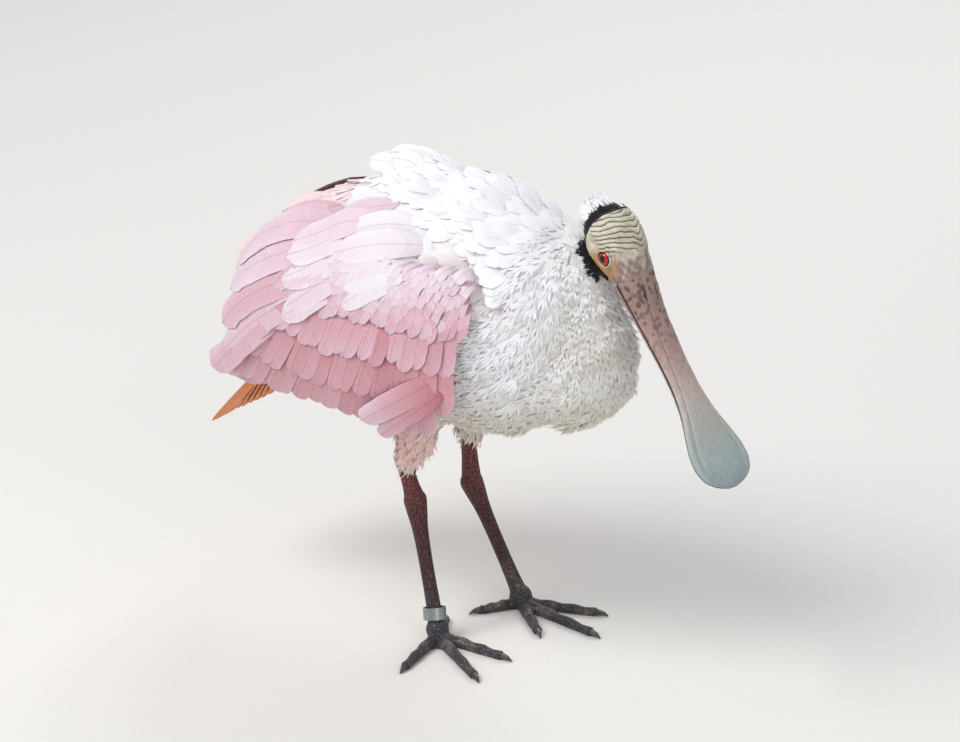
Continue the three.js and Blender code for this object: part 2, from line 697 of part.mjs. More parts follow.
function ring({ hock, foot }) {
  const { inner, wall, height } = RING;
  const profile = [[inner, -1], [inner + wall, -1], [inner + wall, 1], [inner, 1], [inner, -1]].map(
    ([r, end]) => new THREE.Vector2(r, (end * height) / 2),
  );
  const made = new THREE.LatheGeometry(profile, 24);
  const axis = new Vector3(...hock).sub(new Vector3(...foot)).normalize();
  axis.applyAxisAngle(new Vector3(0, 1, 0), RING.tilt);
  made.applyQuaternion(new THREE.Quaternion().setFromUnitVectors(new Vector3(0, 1, 0), axis));
  return solid(made.translate(...between(foot, hock, RING.up)));
}

// The bird

const bird = new THREE.Group();

function addNode(name, made, material) {
  const { vertProperties, triVerts } = made.getMesh();
  const geometry = new THREE.BufferGeometry();
  geometry.setAttribute('position', new THREE.BufferAttribute(vertProperties, 3));
  geometry.setIndex(new THREE.BufferAttribute(triVerts, 1));
  geometry.computeVertexNormals();
  const node = new THREE.Mesh(geometry, material);
  node.name = name;
  bird.add(node);
}

addNode('torso', torso(), FINISHES.whiteFeathers);
addNode('rump', largest(rumpPart(0)), FINISHES.whiteFeathers);
addNode('neck', neck(), FINISHES.whiteFeathers);
addNode('head', head(), FINISHES.headSkin);
addNode('bill_upper', billUpper(), FINISHES.bill);
addNode('bill_lower', billLower(), FINISHES.bill);
addNode('tail', tail(), FINISHES.tailFeathers);
for (const [name, side] of Object.entries(SIDES)) {
  const leg = LEGS[name];
  addNode(`eye_${name}`, ball(eyeCentre(side), EYE.radius, 12), FINISHES.eye);
  addNode(`wing_${name}`, wing(side), FINISHES.pinkFeathers);
  addNode(`thigh_${name}`, thigh(leg), FINISHES.whiteFeathers);
  addNode(`tibia_${name}`, largest(tibia(leg).subtract(tarsus(leg, GAP))), FINISHES.legSkin);
  addNode(`tarsus_${name}`, largest(tarsus(leg)), FINISHES.legSkin);
  addNode(`foot_${name}`, largest(pad(leg.foot).subtract(tarsus(leg, GAP))), FINISHES.footSkin);
  for (const toeName of Object.keys(TOES[name])) {
    addNode(`toe_${name}_${toeName}`, toeSolid(leg, TOES[name], toeName), FINISHES.footSkin);
    addNode(`claw_${name}_${toeName}`, claw(leg.foot, TOES[name][toeName]), FINISHES.claw);
  }
}
addNode('leg_ring', ring(LEGS.right), FINISHES.ring);

// The origin lies on the floor, under the middle of the whole bird.
const box = new THREE.Box3().setFromObject(bird);
bird.position.set(-(box.min.x + box.max.x) / 2, -(box.min.y + box.max.y) / 2, -box.min.z);

export default bird;
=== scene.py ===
"""Looks of a life-size roseate spoonbill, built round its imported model.

Sizes are millimetres in the bird's own frame (+X forward, +Y its left, +Z up, floor at 0).
The function `place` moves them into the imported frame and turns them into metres.
"""

import json
import math

import bpy
import numpy as np
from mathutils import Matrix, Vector

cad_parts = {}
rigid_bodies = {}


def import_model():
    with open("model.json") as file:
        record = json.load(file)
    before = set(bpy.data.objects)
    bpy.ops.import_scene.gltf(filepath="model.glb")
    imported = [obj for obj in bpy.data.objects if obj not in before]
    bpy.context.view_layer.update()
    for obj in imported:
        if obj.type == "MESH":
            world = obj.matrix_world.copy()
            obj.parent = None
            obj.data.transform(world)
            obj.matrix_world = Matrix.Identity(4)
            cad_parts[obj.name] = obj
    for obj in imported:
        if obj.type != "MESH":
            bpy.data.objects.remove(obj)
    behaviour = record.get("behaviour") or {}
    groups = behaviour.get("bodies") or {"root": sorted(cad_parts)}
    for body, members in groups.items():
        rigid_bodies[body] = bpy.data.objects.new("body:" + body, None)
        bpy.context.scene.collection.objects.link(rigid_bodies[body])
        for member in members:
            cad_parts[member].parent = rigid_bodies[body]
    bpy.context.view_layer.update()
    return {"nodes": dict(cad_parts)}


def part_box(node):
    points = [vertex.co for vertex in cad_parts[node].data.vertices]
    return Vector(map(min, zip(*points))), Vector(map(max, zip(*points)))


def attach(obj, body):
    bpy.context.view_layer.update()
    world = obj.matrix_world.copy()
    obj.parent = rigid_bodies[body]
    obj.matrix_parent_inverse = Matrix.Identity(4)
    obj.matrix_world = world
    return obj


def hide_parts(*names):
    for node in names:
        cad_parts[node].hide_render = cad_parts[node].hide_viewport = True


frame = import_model()

bl_info = {
    "name": "Roseate Spoonbill Looks",
    "version": (1, 0, 0),
    "blender": (4, 5, 0),
    "location": "View3D > Sidebar > Spoonbill",
    "description": "Skin, plumage, bill, legs and studio of a life-size spoonbill model",
    "category": "Object",
}

MM = 0.001
# Edges that bend more than this stay crisp, so that a thin vane is shaded as flat
RIM_ANGLE = math.radians(62)
UNWRAP_ANGLE = math.radians(66)
SIDES = {"right": -1, "left": 1}

# The bird's own frame is found from its right foot, whose middle is a named place in the source
FOOT_RIGHT = (-7.0, -44.0)
foot_low, foot_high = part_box("foot_right")
SHIFT = np.array([
    (foot_low.x + foot_high.x) / 2 / MM - FOOT_RIGHT[0],
    (foot_low.y + foot_high.y) / 2 / MM - FOOT_RIGHT[1],
    0.0,
])

# Trunk stations: x, top, bottom, half width
TRUNK = (
    (-206, 196, 160, 18), (-190, 226, 158, 32), (-165, 266, 163, 46), (-135, 300, 165, 60),
    (-100, 326, 163, 70), (-62, 349, 160, 76), (-25, 358, 157, 76), (20, 355, 156, 73),
    (60, 337, 168, 64), (85, 324, 186, 52), (100, 304, 212, 34), (106, 276, 244, 14),
)
# The surface that the folded wings lie on: x, top, bottom, half width
WING_GUIDE = (
    (-240, 204, 170, 29), (-215, 236, 166, 44), (-190, 268, 164, 54), (-165, 300, 162, 62),
    (-135, 320, 160, 70), (-100, 332, 160, 75), (-62, 352, 157, 79), (-25, 361, 154, 79),
    (20, 358, 153, 76), (60, 340, 165, 67),
)
WING_FULLNESS = 0.4
# Neck places and radii, from the breast up to the head
NECK = (
    (74, -4, 214, 44), (93, -6, 222, 42), (103, -8, 245, 36),
    (99, -8, 272, 27), (97, -8, 300, 23), (101, -8, 326, 20),
)
THIGHS = {
    "right": ((-26, -29, 188), (-47, -27, 121)),
    "left": ((-18, 29, 188), (-29, 27, 133)),
}
THIGH_RADII = (23, 20, 14, 7.6)
COAT_DEPTH = 4.0
THIGH_COAT_DEPTH = 2.0
# Faces of the remeshed skins, and how far a leg's solids swell to meet, in mm
SKIN_GRAIN = 2.6
LEG_GRAIN = 0.8
LEG_SWELL = 0.3
SOLE_CLEARANCE = 0.0002  # metres
# The share by which the plumage between the wings fills up to their tops, and how much deeper the
# skin lies under the mantle's larger feathers
BACK_FULLNESS = 0.82
MANTLE_DEPTH = 7.0
HEAD_REACH = 52  # a point nearer than this to the head's centre belongs to the head
FAR_BEHIND = 60.0  # the distance behind the black band that any other point is given

HEAD_CENTRE = np.array((124.8, -12.0, 329.0))
HEAD_TURN = math.radians(12)
HEAD_DROP = math.radians(45)
# Head stations: along, half width, up, down
HEAD = (
    (-30, 3, 3, 3), (-26.5, 10, 11, 10), (-19, 15, 18, 16.5), (-9, 18.3, 22, 21), (2, 19, 22.5, 22),
    (12, 18, 20, 20.5), (21, 16.5, 16.5, 18), (28, 15.4, 13.8, 15.3), (32, 14.4, 12.4, 13.2),
    (37, 11.5, 9, 10),
)
HEAD_FORWARD = np.array((
    math.cos(HEAD_DROP) * math.cos(HEAD_TURN),
    -math.cos(HEAD_DROP) * math.sin(HEAD_TURN),
    -math.sin(HEAD_DROP),
))
HEAD_LEFT = np.array((math.sin(HEAD_TURN), math.cos(HEAD_TURN), 0.0))
HEAD_UP = np.cross(HEAD_FORWARD, HEAD_LEFT)
EYE = {"along": 11.6, "out": 12.4, "up": -1.0, "radius": 7.2}
# The black feather band, from the nape to the throat: along, up, half width
BAND = (
    (-14, 22, 1.8), (-16.4, 14.5, 2.6), (-16.2, 6.4, 3.2), (-13.4, -5, 3.5), (-8.2, -13.5, 3.5),
    (-2.1, -17.8, 3.4), (3.6, -20.4, 3.2), (9.2, -23.4, 3.0), (15.9, -26.8, 2.6), (26.7, -31.7, 1.6),
)

BILL_TIP = np.array((245.0, -40.0, 177.0))
BILL_ROOT = 31.5  # along the head, where the bill leaves the face
MOUTH_BELOW = 6.0
MOUTH_GAP = 0.8
# Bill stations: share of length, half width, upper height, lower depth
BILL = (
    (0, 15, 18.4, 7.4), (.08, 14.4, 14, 6.4), (.16, 13.6, 10, 5.4), (.28, 12.8, 7.4, 4.4),
    (.43, 12, 5.6, 3.8), (.55, 13, 4.8, 3.4), (.65, 16, 4.2, 3), (.75, 21.5, 3.6, 2.8),
    (.84, 25.4, 3.2, 2.6), (.91, 24.6, 2.9, 2.4), (.96, 19, 2.6, 2.1), (.99, 10, 2.1, 1.7),
    (1, 4.4, 1.4, 1.2),
)
NOSTRIL = {"along": 15.0, "out": 5.2, "length": 6.0, "width": 1.1, "depth": 1.6}
LOWER_FULLNESS = 1.35  # of the lower half, whose side shows under the upper one

# Width of a flight feather along its length, as shares, before its tip is rounded
SHORT = ((0, .12), (.13, .62), (.45, 1), (1, .92))
LONG = ((0, .1), (.1, .55), (.3, .95), (.62, 1), (1, .84))
# Wing tiers: count, root x, root z, length, width, heading, lift at root and half way, shape,
# and pigment at root and tip, each as a first and last value
TIERS = {
    "primaries": (4, (-122, -110), (238, 208), (114, 108), (22, 22), (66, 70), (-1, 1.2), LONG, (.72, .6)),
    "secondaries": (14, (6, -150), (222, 224), (58, 66), (23, 18), (8, 50), (0, 2.4), SHORT, (.84, .6)),
    "greater_coverts": (15, (22, -136), (244, 246), (52, 56), (20, 17), (8, 46), (.4, 4.2), SHORT,
                        (.84, .62)),
    "median_coverts": (15, (29, -108), (264, 272), (42, 50), (18, 16), (10, 40), (.4, 6.0), SHORT,
                       (.76, .5)),
    "tertials": (8, (-62, -108), (310, 250), (116, 122), (25, 22), (76, 58), (-5, 6.6), LONG, (.55, .42)),
    "inner_tertials": (6, (-96, -82), (324, 302), (96, 108), (26, 24), (92, 80), (-5, 6.0), LONG, (.5, .3)),
    "rear_scapulars": (10, (-36, -50), (336, 292), (82, 80), (24, 22), (84, 70), (-8, 7.6), LONG,
                       (.28, .2)),
    "front_scapulars": (8, (-4, 2), (328, 298), (72, 72), (22, 20), (86, 68), (-12, 8.0), LONG,
                        (.04, .16)),
    "thumb": (2, (31, 25), (220, 226), (88, 95), (13, 20), (52, 53), (2, 9.4), LONG, (.95, .3)),
}
VANE_STEPS = 13
COVERT_STEPS = 8
VANE_THICKNESS = 0.35
# Degrees that a feather leans over the one above it
VANE_LEAN = 5
COVERT_LEAN = 7
LESSER_ROWS = 9
LESSER_COUNT = 24

TAIL = {"root": (-164, 0, 196), "tip": (-228, 0, 122), "count": 12, "width": 16, "spread": 17, "fan": 17}
# Loose feathers of the mantle: x, y, heading, rise, length
MANTLE = (
    (-34, -15, 10, -1, 40), (-40, 3, -3, 0, 40), (-36, 13, -10, -2, 38),
    (-52, -10, 5, -3, 42), (-58, 9, -6, -4, 40),
)
MANTLE_WIDTH = 15
MANTLE_ROOT = 8.0  # depth of their roots under the back
# Pressed creases of the mantle, right side: start, end, half width, depth
CREASES = (
    ((-39, -45, 346), (8, -54, 332), 5.0, 4.0),
    ((18, -58, 318), (62, -58, 275), 5.0, 5.0),
    ((2, -60, 322), (40, -66, 268), 4.0, 3.0),
)

# The least share of the lift that a tuft is tilted by, and the side of its patch in the bake map
LEAST_TILT = 0.35
BAKE_PATCH = 0.003

FLOOR_REACH = 6.0
AIR_STRENGTH = 0.56
SIDE_LIGHT = 0.4  # share of the key light's power
CAMERA = {"azimuth": 35, "elevation": 20, "distance": 3600, "lens": 185, "target": (3.9, -4.9, 202.4)}


def linear(hex_code):
    """Turns an sRGB hex colour into the linear values that the nodes take."""
    channels = [int(hex_code[i:i + 2], 16) / 255 for i in (1, 3, 5)]
    return tuple(c / 12.92 if c <= 0.04045 else ((c + 0.055) / 1.055) ** 2.4 for c in channels)


def place(points):
    """Moves points of the bird's own frame, in mm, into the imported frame, in metres."""
    return (np.asarray(points, float) + SHIFT) * MM


def unit(vectors):
    """Vectors of length one."""
    vectors = np.asarray(vectors, float)
    return vectors / np.maximum(np.linalg.norm(vectors, axis=-1, keepdims=True), 1e-9)


def sizes(table, at):
    """Reads a table of stations at the places given, on a smooth curve through its rows."""
    table = np.array(table, float)
    spot, value = table[:, 0], table[:, 1:]
    slope = np.gradient(value, spot, axis=0)
    at = np.asarray(at, float)
    row = np.clip(np.searchsorted(spot, at, side="right") - 1, 0, len(spot) - 2)
    span = (spot[row + 1] - spot[row])[..., None]
    t = np.clip((at - spot[row]) / span[..., 0], 0, 1)[..., None]
    return (
        (2 * t**3 - 3 * t**2 + 1) * value[row] + (t**3 - 2 * t**2 + t) * span * slope[row]
        + (3 * t**2 - 2 * t**3) * value[row + 1] + (t**3 - t**2) * span * slope[row + 1]
    )


def smooth(low, high, value):
    """Rises smoothly from 0 at low to 1 at high."""
    t = np.clip((np.asarray(value, float) - low) / (high - low), 0, 1)
    return t * t * (3 - 2 * t)


def bump(distance, width):
    """A soft hill of height 1 at distance 0."""
    return np.exp(-(np.asarray(distance, float) / width) ** 2)


def waves(points, period, seed):
    """Soft uneven noise about -1 to 1, from a few crossed waves of about the period given."""
    draw = np.random.default_rng(seed)
    total = 0
    for _ in range(6):
        way = unit(draw.standard_normal(3)) * (2 * np.pi / (period * draw.uniform(0.7, 1.5)))
        total = total + np.sin(np.asarray(points) @ way + draw.uniform(0, 6.28))
    return total / 3


def head_point(along, out, up):
    """A point given in the head's own directions."""
    along, out, up = (np.asarray(v, float)[..., None] for v in (along, out, up))
    return HEAD_CENTRE + along * HEAD_FORWARD + out * HEAD_LEFT + up * HEAD_UP


def head_places(points):
    """How far points lie along, out and up in the head's own directions."""
    away = points - HEAD_CENTRE
    return away @ HEAD_FORWARD, away @ HEAD_LEFT, away @ HEAD_UP


def band_places(along, up):
    """Distance behind the black band's middle line (below 0 on the face side), and its half width."""
    line = sizes(np.c_[np.arange(len(BAND)), np.array(BAND)], np.linspace(0, len(BAND) - 1, 90))
    tangent = unit(np.gradient(line[:, :2], axis=0))
    away = np.stack([along, up], -1)[:, None, :] - line[None, :, :2]
    nearest = np.argmin((away ** 2).sum(-1), axis=1)
    step = away[np.arange(len(nearest)), nearest]
    behind = step[:, 0] * tangent[nearest, 1] - step[:, 1] * tangent[nearest, 0]
    gap = np.linalg.norm(step, axis=1) * np.sign(behind)
    return gap, line[nearest, 2]


def trunk_point(x, angle, out=0.0):
    """A point of the trunk: angle 0 is the back's middle line, and grows to the left."""
    top, bottom, half = np.moveaxis(sizes(TRUNK, x), -1, 0)
    height = (top - bottom) / 2
    return np.stack([
        np.broadcast_to(x, np.shape(angle)) * 1.0,
        (half + out) * np.sin(angle),
        (top + bottom) / 2 + (height + out) * np.cos(angle),
    ], -1)


def guide_point(x, angle):
    """A point of the surface under the folded wings, fuller below than an ellipse."""
    top, bottom, half = np.moveaxis(sizes(WING_GUIDE, x), -1, 0)
    sine, cosine = np.sin(angle), np.cos(angle)
    power = np.where(cosine < 0, WING_FULLNESS, 1.0)
    return np.stack([
        np.asarray(x, float),
        half * np.sign(sine) * np.abs(sine) ** power,
        (top + bottom) / 2 + (top - bottom) / 2 * cosine,
    ], -1)


class Gather:
    """Collects closed forms with their attributes, and makes one mesh object of them."""

    def __init__(self):
        self.points = []
        self.faces = []
        self.values = {}
        self.count = 0

    def add(self, points, faces, **values):
        """Adds a form: its points in mm, its faces by point number, and values for each point."""
        points = np.asarray(points, float).reshape(-1, 3)
        self.points.append(points)
        self.faces += [tuple(i + self.count for i in face) for face in faces]
        for name, value in values.items():
            filled = np.broadcast_to(np.asarray(value, float), (len(points),) + np.shape(value)[1:])
            self.values.setdefault(name, []).append(filled)
        self.count += len(points)

    def mesh(self, name):
        """The mesh of all forms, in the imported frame, with float and vector attributes and a bake map."""
        made = bpy.data.meshes.new(name)
        made.from_pydata(place(np.concatenate(self.points)).tolist(), [], self.faces)
        for key, parts in self.values.items():
            whole = np.concatenate(parts)
            if key == "OFBake":
                corners = np.zeros(len(made.loops), np.int32)
                made.loops.foreach_get("vertex_index", corners)
                layer = made.uv_layers.new(name="OFBake")
                layer.uv.foreach_set("vector", whole[corners].astype(np.float32).ravel())
                continue
            kind = "FLOAT" if whole.ndim == 1 else "FLOAT_VECTOR"
            field = "value" if whole.ndim == 1 else "vector"
            made.attributes.new(key, kind, "POINT").data.foreach_set(field, whole.astype(np.float32).ravel())
        made.shade_smooth()
        made.set_sharp_from_angle(angle=RIM_ANGLE)
        made.validate()
        return made

    def build(self, name):
        """An object with that mesh, linked to the scene."""
        return linked(name, self.mesh(name))


def tube_faces(stations, around):
    """Faces of a closed tube whose rings follow one another, with a fan at each end."""
    faces = []
    for s in range(stations - 1):
        for a in range(around):
            b = (a + 1) % around
            low, high = s * around, (s + 1) * around
            faces.append((low + a, low + b, high + b, high + a))
    faces.append(tuple(range(around))[::-1])
    faces.append(tuple((stations - 1) * around + a for a in range(around)))
    return faces


def outward(points, faces):
    """The faces, turned over if they enclose a negative volume."""
    points = np.asarray(points, float).reshape(-1, 3)
    volume = 0.0
    for face in faces:
        a = points[face[0]]
        for i in range(1, len(face) - 1):
            volume += a @ np.cross(points[face[i]], points[face[i + 1]])
    return [tuple(reversed(face)) for face in faces] if volume < 0 else faces


def swept(path, radii, around):
    """A round closed tube along a path, with its own radius at each place."""
    path, radii = np.asarray(path, float), np.asarray(radii, float)
    tangent = unit(np.gradient(path, axis=0))
    side = unit(np.cross(tangent, (0.0, 1.0, 0.05)))
    other = np.cross(tangent, side)
    angle = np.linspace(0, 2 * np.pi, around, endpoint=False)
    ring = np.cos(angle)[None, :, None] * side[:, None] + np.sin(angle)[None, :, None] * other[:, None]
    return path[:, None] + ring * radii[:, None, None]


def smooth_path(points, count):
    """Points spread evenly along a smooth curve through the rows given."""
    points = np.asarray(points, float)
    reach = np.r_[0, np.cumsum(np.linalg.norm(np.diff(points[:, :3], axis=0), axis=1))]
    return sizes(np.c_[reach, points], np.linspace(0, reach[-1], count))


def linked(name, data):
    """A new object, linked to the scene."""
    made = bpy.data.objects.new(name, data)
    bpy.context.scene.collection.objects.link(made)
    return made


def read(mesh, key):
    """The place or the normal of each vertex, as rows."""
    values = np.zeros(len(mesh.vertices) * 3)
    mesh.vertices.foreach_get(key, values)
    return values.reshape(-1, 3)


def evened(form, grain, rounds, factor):
    """The form's mesh with even faces of a size in mm, smoothed; the form itself goes."""
    remesh = form.modifiers.new("even", "REMESH")
    remesh.mode = "VOXEL"
    remesh.voxel_size = grain * MM
    soften = form.modifiers.new("soft", "SMOOTH")
    soften.iterations = rounds
    soften.factor = factor
    graph = bpy.context.evaluated_depsgraph_get()
    mesh = bpy.data.meshes.new_from_object(form.evaluated_get(graph))
    bpy.data.objects.remove(form)
    return mesh


def blend(pair, share):
    """The value at a share of the way from the first of two to the second."""
    return pair[0] + share * (pair[1] - pair[0])


def bake_cell(number, cells):
    """A feather's own square of the bake map: its corner and its side."""
    return (number % cells) / cells, (number // cells) / cells, 1 / cells


def paint(piece, material):
    """Gives a piece one material."""
    piece.data.materials.clear()
    piece.data.materials.append(material)


def finish_piece(piece, material, slot, *stands_for):
    """Gives a piece its material, its body and the nodes that it stands for; its slot is not used."""
    if material is not None:
        paint(piece, material)
    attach(piece, "root")
    if stands_for:
        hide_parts(*stands_for)
    return piece


# Settings of the nodes that lay one colour over another, and that darken one by another
TINT = {"data_type": "RGBA"}
SHADE = {"data_type": "RGBA", "blend_type": "MULTIPLY"}


def add(tree, kind, settings=None, inputs=(), stops=(), out=0):
    """Adds one node, with its settings, the values or links of its inputs, and a ramp's stops.

    Inputs go by name or number, or in their order. A text that starts with # is an sRGB colour.
    Returns the output asked for, or all of them where out is None.
    """
    made = tree.nodes.new(kind)
    for name, value in (settings or {}).items():
        setattr(made, name, value)
    for name, value in inputs.items() if isinstance(inputs, dict) else enumerate(inputs):
        if isinstance(value, bpy.types.NodeSocket):
            tree.links.new(value, made.inputs[name])
        elif isinstance(value, str) and value.startswith("#"):
            made.inputs[name].default_value = (*linear(value), 1)
        else:
            made.inputs[name].default_value = value
    for i, (spot, colour) in enumerate(stops):
        points = made.color_ramp.elements
        point = points[i] if i < 2 else points.new(spot)
        point.position = spot
        point.color = (*(linear(colour) if isinstance(colour, str) else colour), 1)
    return made.outputs if out is None else made.outputs[out]


def new_material(name, **constants):
    """A material with its shader, whose constant inputs are set on the shader's own sockets."""
    made = bpy.data.materials.new(name)
    made.use_nodes = True
    shader = made.node_tree.nodes["Principled BSDF"]
    for socket, value in constants.items():
        shader.inputs[socket.replace("_", " ")].default_value = value
    return made, made.node_tree, shader


def surface(tree, shader, colour, roughness=None, height=None, depth=0.0004):
    """Links a colour, a roughness and a bump of a real depth in metres to the shader."""
    tree.links.new(colour, shader.inputs["Base Color"])
    if roughness is not None:
        tree.links.new(roughness, shader.inputs["Roughness"])
    if height is not None:
        lifted = add(tree, "ShaderNodeBump", None, {"Height": height, "Distance": depth, "Strength": 0.9})
        tree.links.new(lifted, shader.inputs["Normal"])


def down_finish(name, light, shade, blush, seed):
    """Loose body plumage: matt, soft-edged and bright, with painted shade towards the root of each tuft and
    on the underside.
    """
    made, tree, shader = new_material(
        name, Roughness=0.8, Sheen_Weight=0.3, Sheen_Roughness=0.45, Specular_IOR_Level=0.2)
    along, cream, pink = (
        add(tree, "ShaderNodeAttribute", {"attribute_name": key}, out="Fac")
        for key in ("along", "cream", "blush")
    )
    place_of = add(tree, "ShaderNodeTexCoord", out="Object")
    # Patches about 25 mm across, as the fall of the plumage gathers light and shade
    patch = add(tree, "ShaderNodeTexNoise", {"noise_dimensions": "4D"},
                {"Vector": place_of, "Scale": 40.0, "W": seed, "Detail": 3.0})
    uneven = add(tree, "ShaderNodeMath", {"operation": "MULTIPLY_ADD"}, (patch, 0.35, -0.12))
    # Painted shade: the underside's painted shade and the patches of light and shade both turn the white
    # towards the shade colour
    grey = add(tree, "ShaderNodeMath", {"operation": "ADD", "use_clamp": True}, (cream, uneven))
    body = add(tree, "ShaderNodeMix", TINT, {0: grey, 6: light, 7: shade}, out=2)
    # Painted shade: each tuft darkens to 0.93 at its root, under the tufts that lie over it
    root = add(tree, "ShaderNodeMapRange", None, (along, 0.0, 0.7, 0.93, 1.0))
    tinted = add(tree, "ShaderNodeMix", TINT, {0: pink, 6: body, 7: blush}, out=2)
    darker = add(tree, "ShaderNodeMix", SHADE, {0: 1.0, 6: tinted, 7: root}, out=2)
    surface(tree, shader, darker)
    return made


def vane_finish(name, stops):
    """A flight feather's vane: satin, with fine slanting barbs, a darker shaft and paler rims."""
    made, tree, shader = new_material(name, Sheen_Weight=0.2, Sheen_Roughness=0.4, Specular_IOR_Level=0.3)
    plume = add(tree, "ShaderNodeAttribute", {"attribute_name": "plume"}, out="Vector")
    apart = add(tree, "ShaderNodeSeparateXYZ", None, (plume,), out=None)
    pigment = add(tree, "ShaderNodeAttribute", {"attribute_name": "pigment"}, out="Fac")
    # Barbs lie about 0.3 mm apart on the bird and are drawn 1.2 mm apart so that they show
    slant = add(tree, "ShaderNodeCombineXYZ", None, (apart[0], 0.0, apart[2]))
    barbs = add(tree, "ShaderNodeTexNoise", None,
                {"Vector": slant, "Scale": 0.85, "Detail": 4.0, "Roughness": 0.65})
    streak = add(tree, "ShaderNodeMapRange", None, (barbs, 0.3, 0.7, -0.09, 0.09))
    toned = add(tree, "ShaderNodeMath", {"operation": "ADD", "use_clamp": True}, (pigment, streak))
    colour = add(tree, "ShaderNodeValToRGB", None, (toned,), stops)
    reach = add(tree, "ShaderNodeMath", {"operation": "ABSOLUTE"}, (apart[1],))
    # The shaft is about 1 mm wide where it shows
    shaft = add(tree, "ShaderNodeMapRange", None, (reach, 0.3, 0.9, 0.84, 1.0))
    lined = add(tree, "ShaderNodeMix", SHADE, {0: 1.0, 6: colour, 7: shaft}, out=2)
    rough = add(tree, "ShaderNodeMapRange", None, (barbs, 0.3, 0.7, 0.5, 0.7))
    surface(tree, shader, lined, rough, barbs, 0.0006)
    return made


def face_finish():
    """Bare head skin: waxy pale buff hide with painted brown shade in its furrows and lid creases, orange
    under the eye and round the gape.
    """
    made, tree, shader = new_material("bare waxy head skin", Specular_IOR_Level=0.45, Coat_Weight=0.08,
                                      Coat_Roughness=0.35)
    furrow, orange, dusk, bare, band, pink = (
        add(tree, "ShaderNodeAttribute", {"attribute_name": key}, out="Fac")
        for key in ("furrow", "orange", "dusk", "bare", "grow_black", "blush")
    )
    place_of = add(tree, "ShaderNodeTexCoord", out="Object")
    # Pores and stains: grain of about 1.5 mm over patches of about 8 mm
    grain = add(tree, "ShaderNodeTexNoise", None,
                {"Vector": place_of, "Scale": 650.0, "Detail": 4.0, "Roughness": 0.6})
    stain = add(tree, "ShaderNodeTexNoise", None, {"Vector": place_of, "Scale": 120.0, "Detail": 3.0})
    hide = add(tree, "ShaderNodeValToRGB", None, (stain,), [(0.3, "#B3AD98"), (0.7, "#DED7C3")])
    warm = add(tree, "ShaderNodeMath", {"operation": "MULTIPLY", "use_clamp": True}, (orange, 1.9))
    glow = add(tree, "ShaderNodeMix", TINT, {0: warm, 6: hide, 7: "#C48A3A"}, out=2)
    smoky = add(tree, "ShaderNodeMix", TINT, {0: dusk, 6: glow, 7: "#8A716A"}, out=2)
    # Painted shade: the furrows, the lid creases and the lid round the socket turn brown
    lines = add(tree, "ShaderNodeMix", TINT, {0: furrow, 6: smoky, 7: "#5E4B36"}, out=2)
    speck = add(tree, "ShaderNodeMapRange", None, (grain, 0.35, 0.6, 0.82, 1.04))
    skin = add(tree, "ShaderNodeMix", SHADE, {0: 1.0, 6: lines, 7: speck}, out=2)
    covered = add(tree, "ShaderNodeMix", TINT, {0: pink, 6: "#E8E7E8", 7: "#EBBDB8"}, out=2)
    under = add(tree, "ShaderNodeMix", TINT, {0: bare, 6: covered, 7: skin}, out=2)
    banded = add(tree, "ShaderNodeMix", TINT, {0: band, 6: under, 7: "#1B1A1F"}, out=2)
    rough = add(tree, "ShaderNodeMapRange", None, (grain, 0.3, 0.7, 0.42, 0.6))
    surface(tree, shader, banded, rough, grain, 0.0003)
    return made


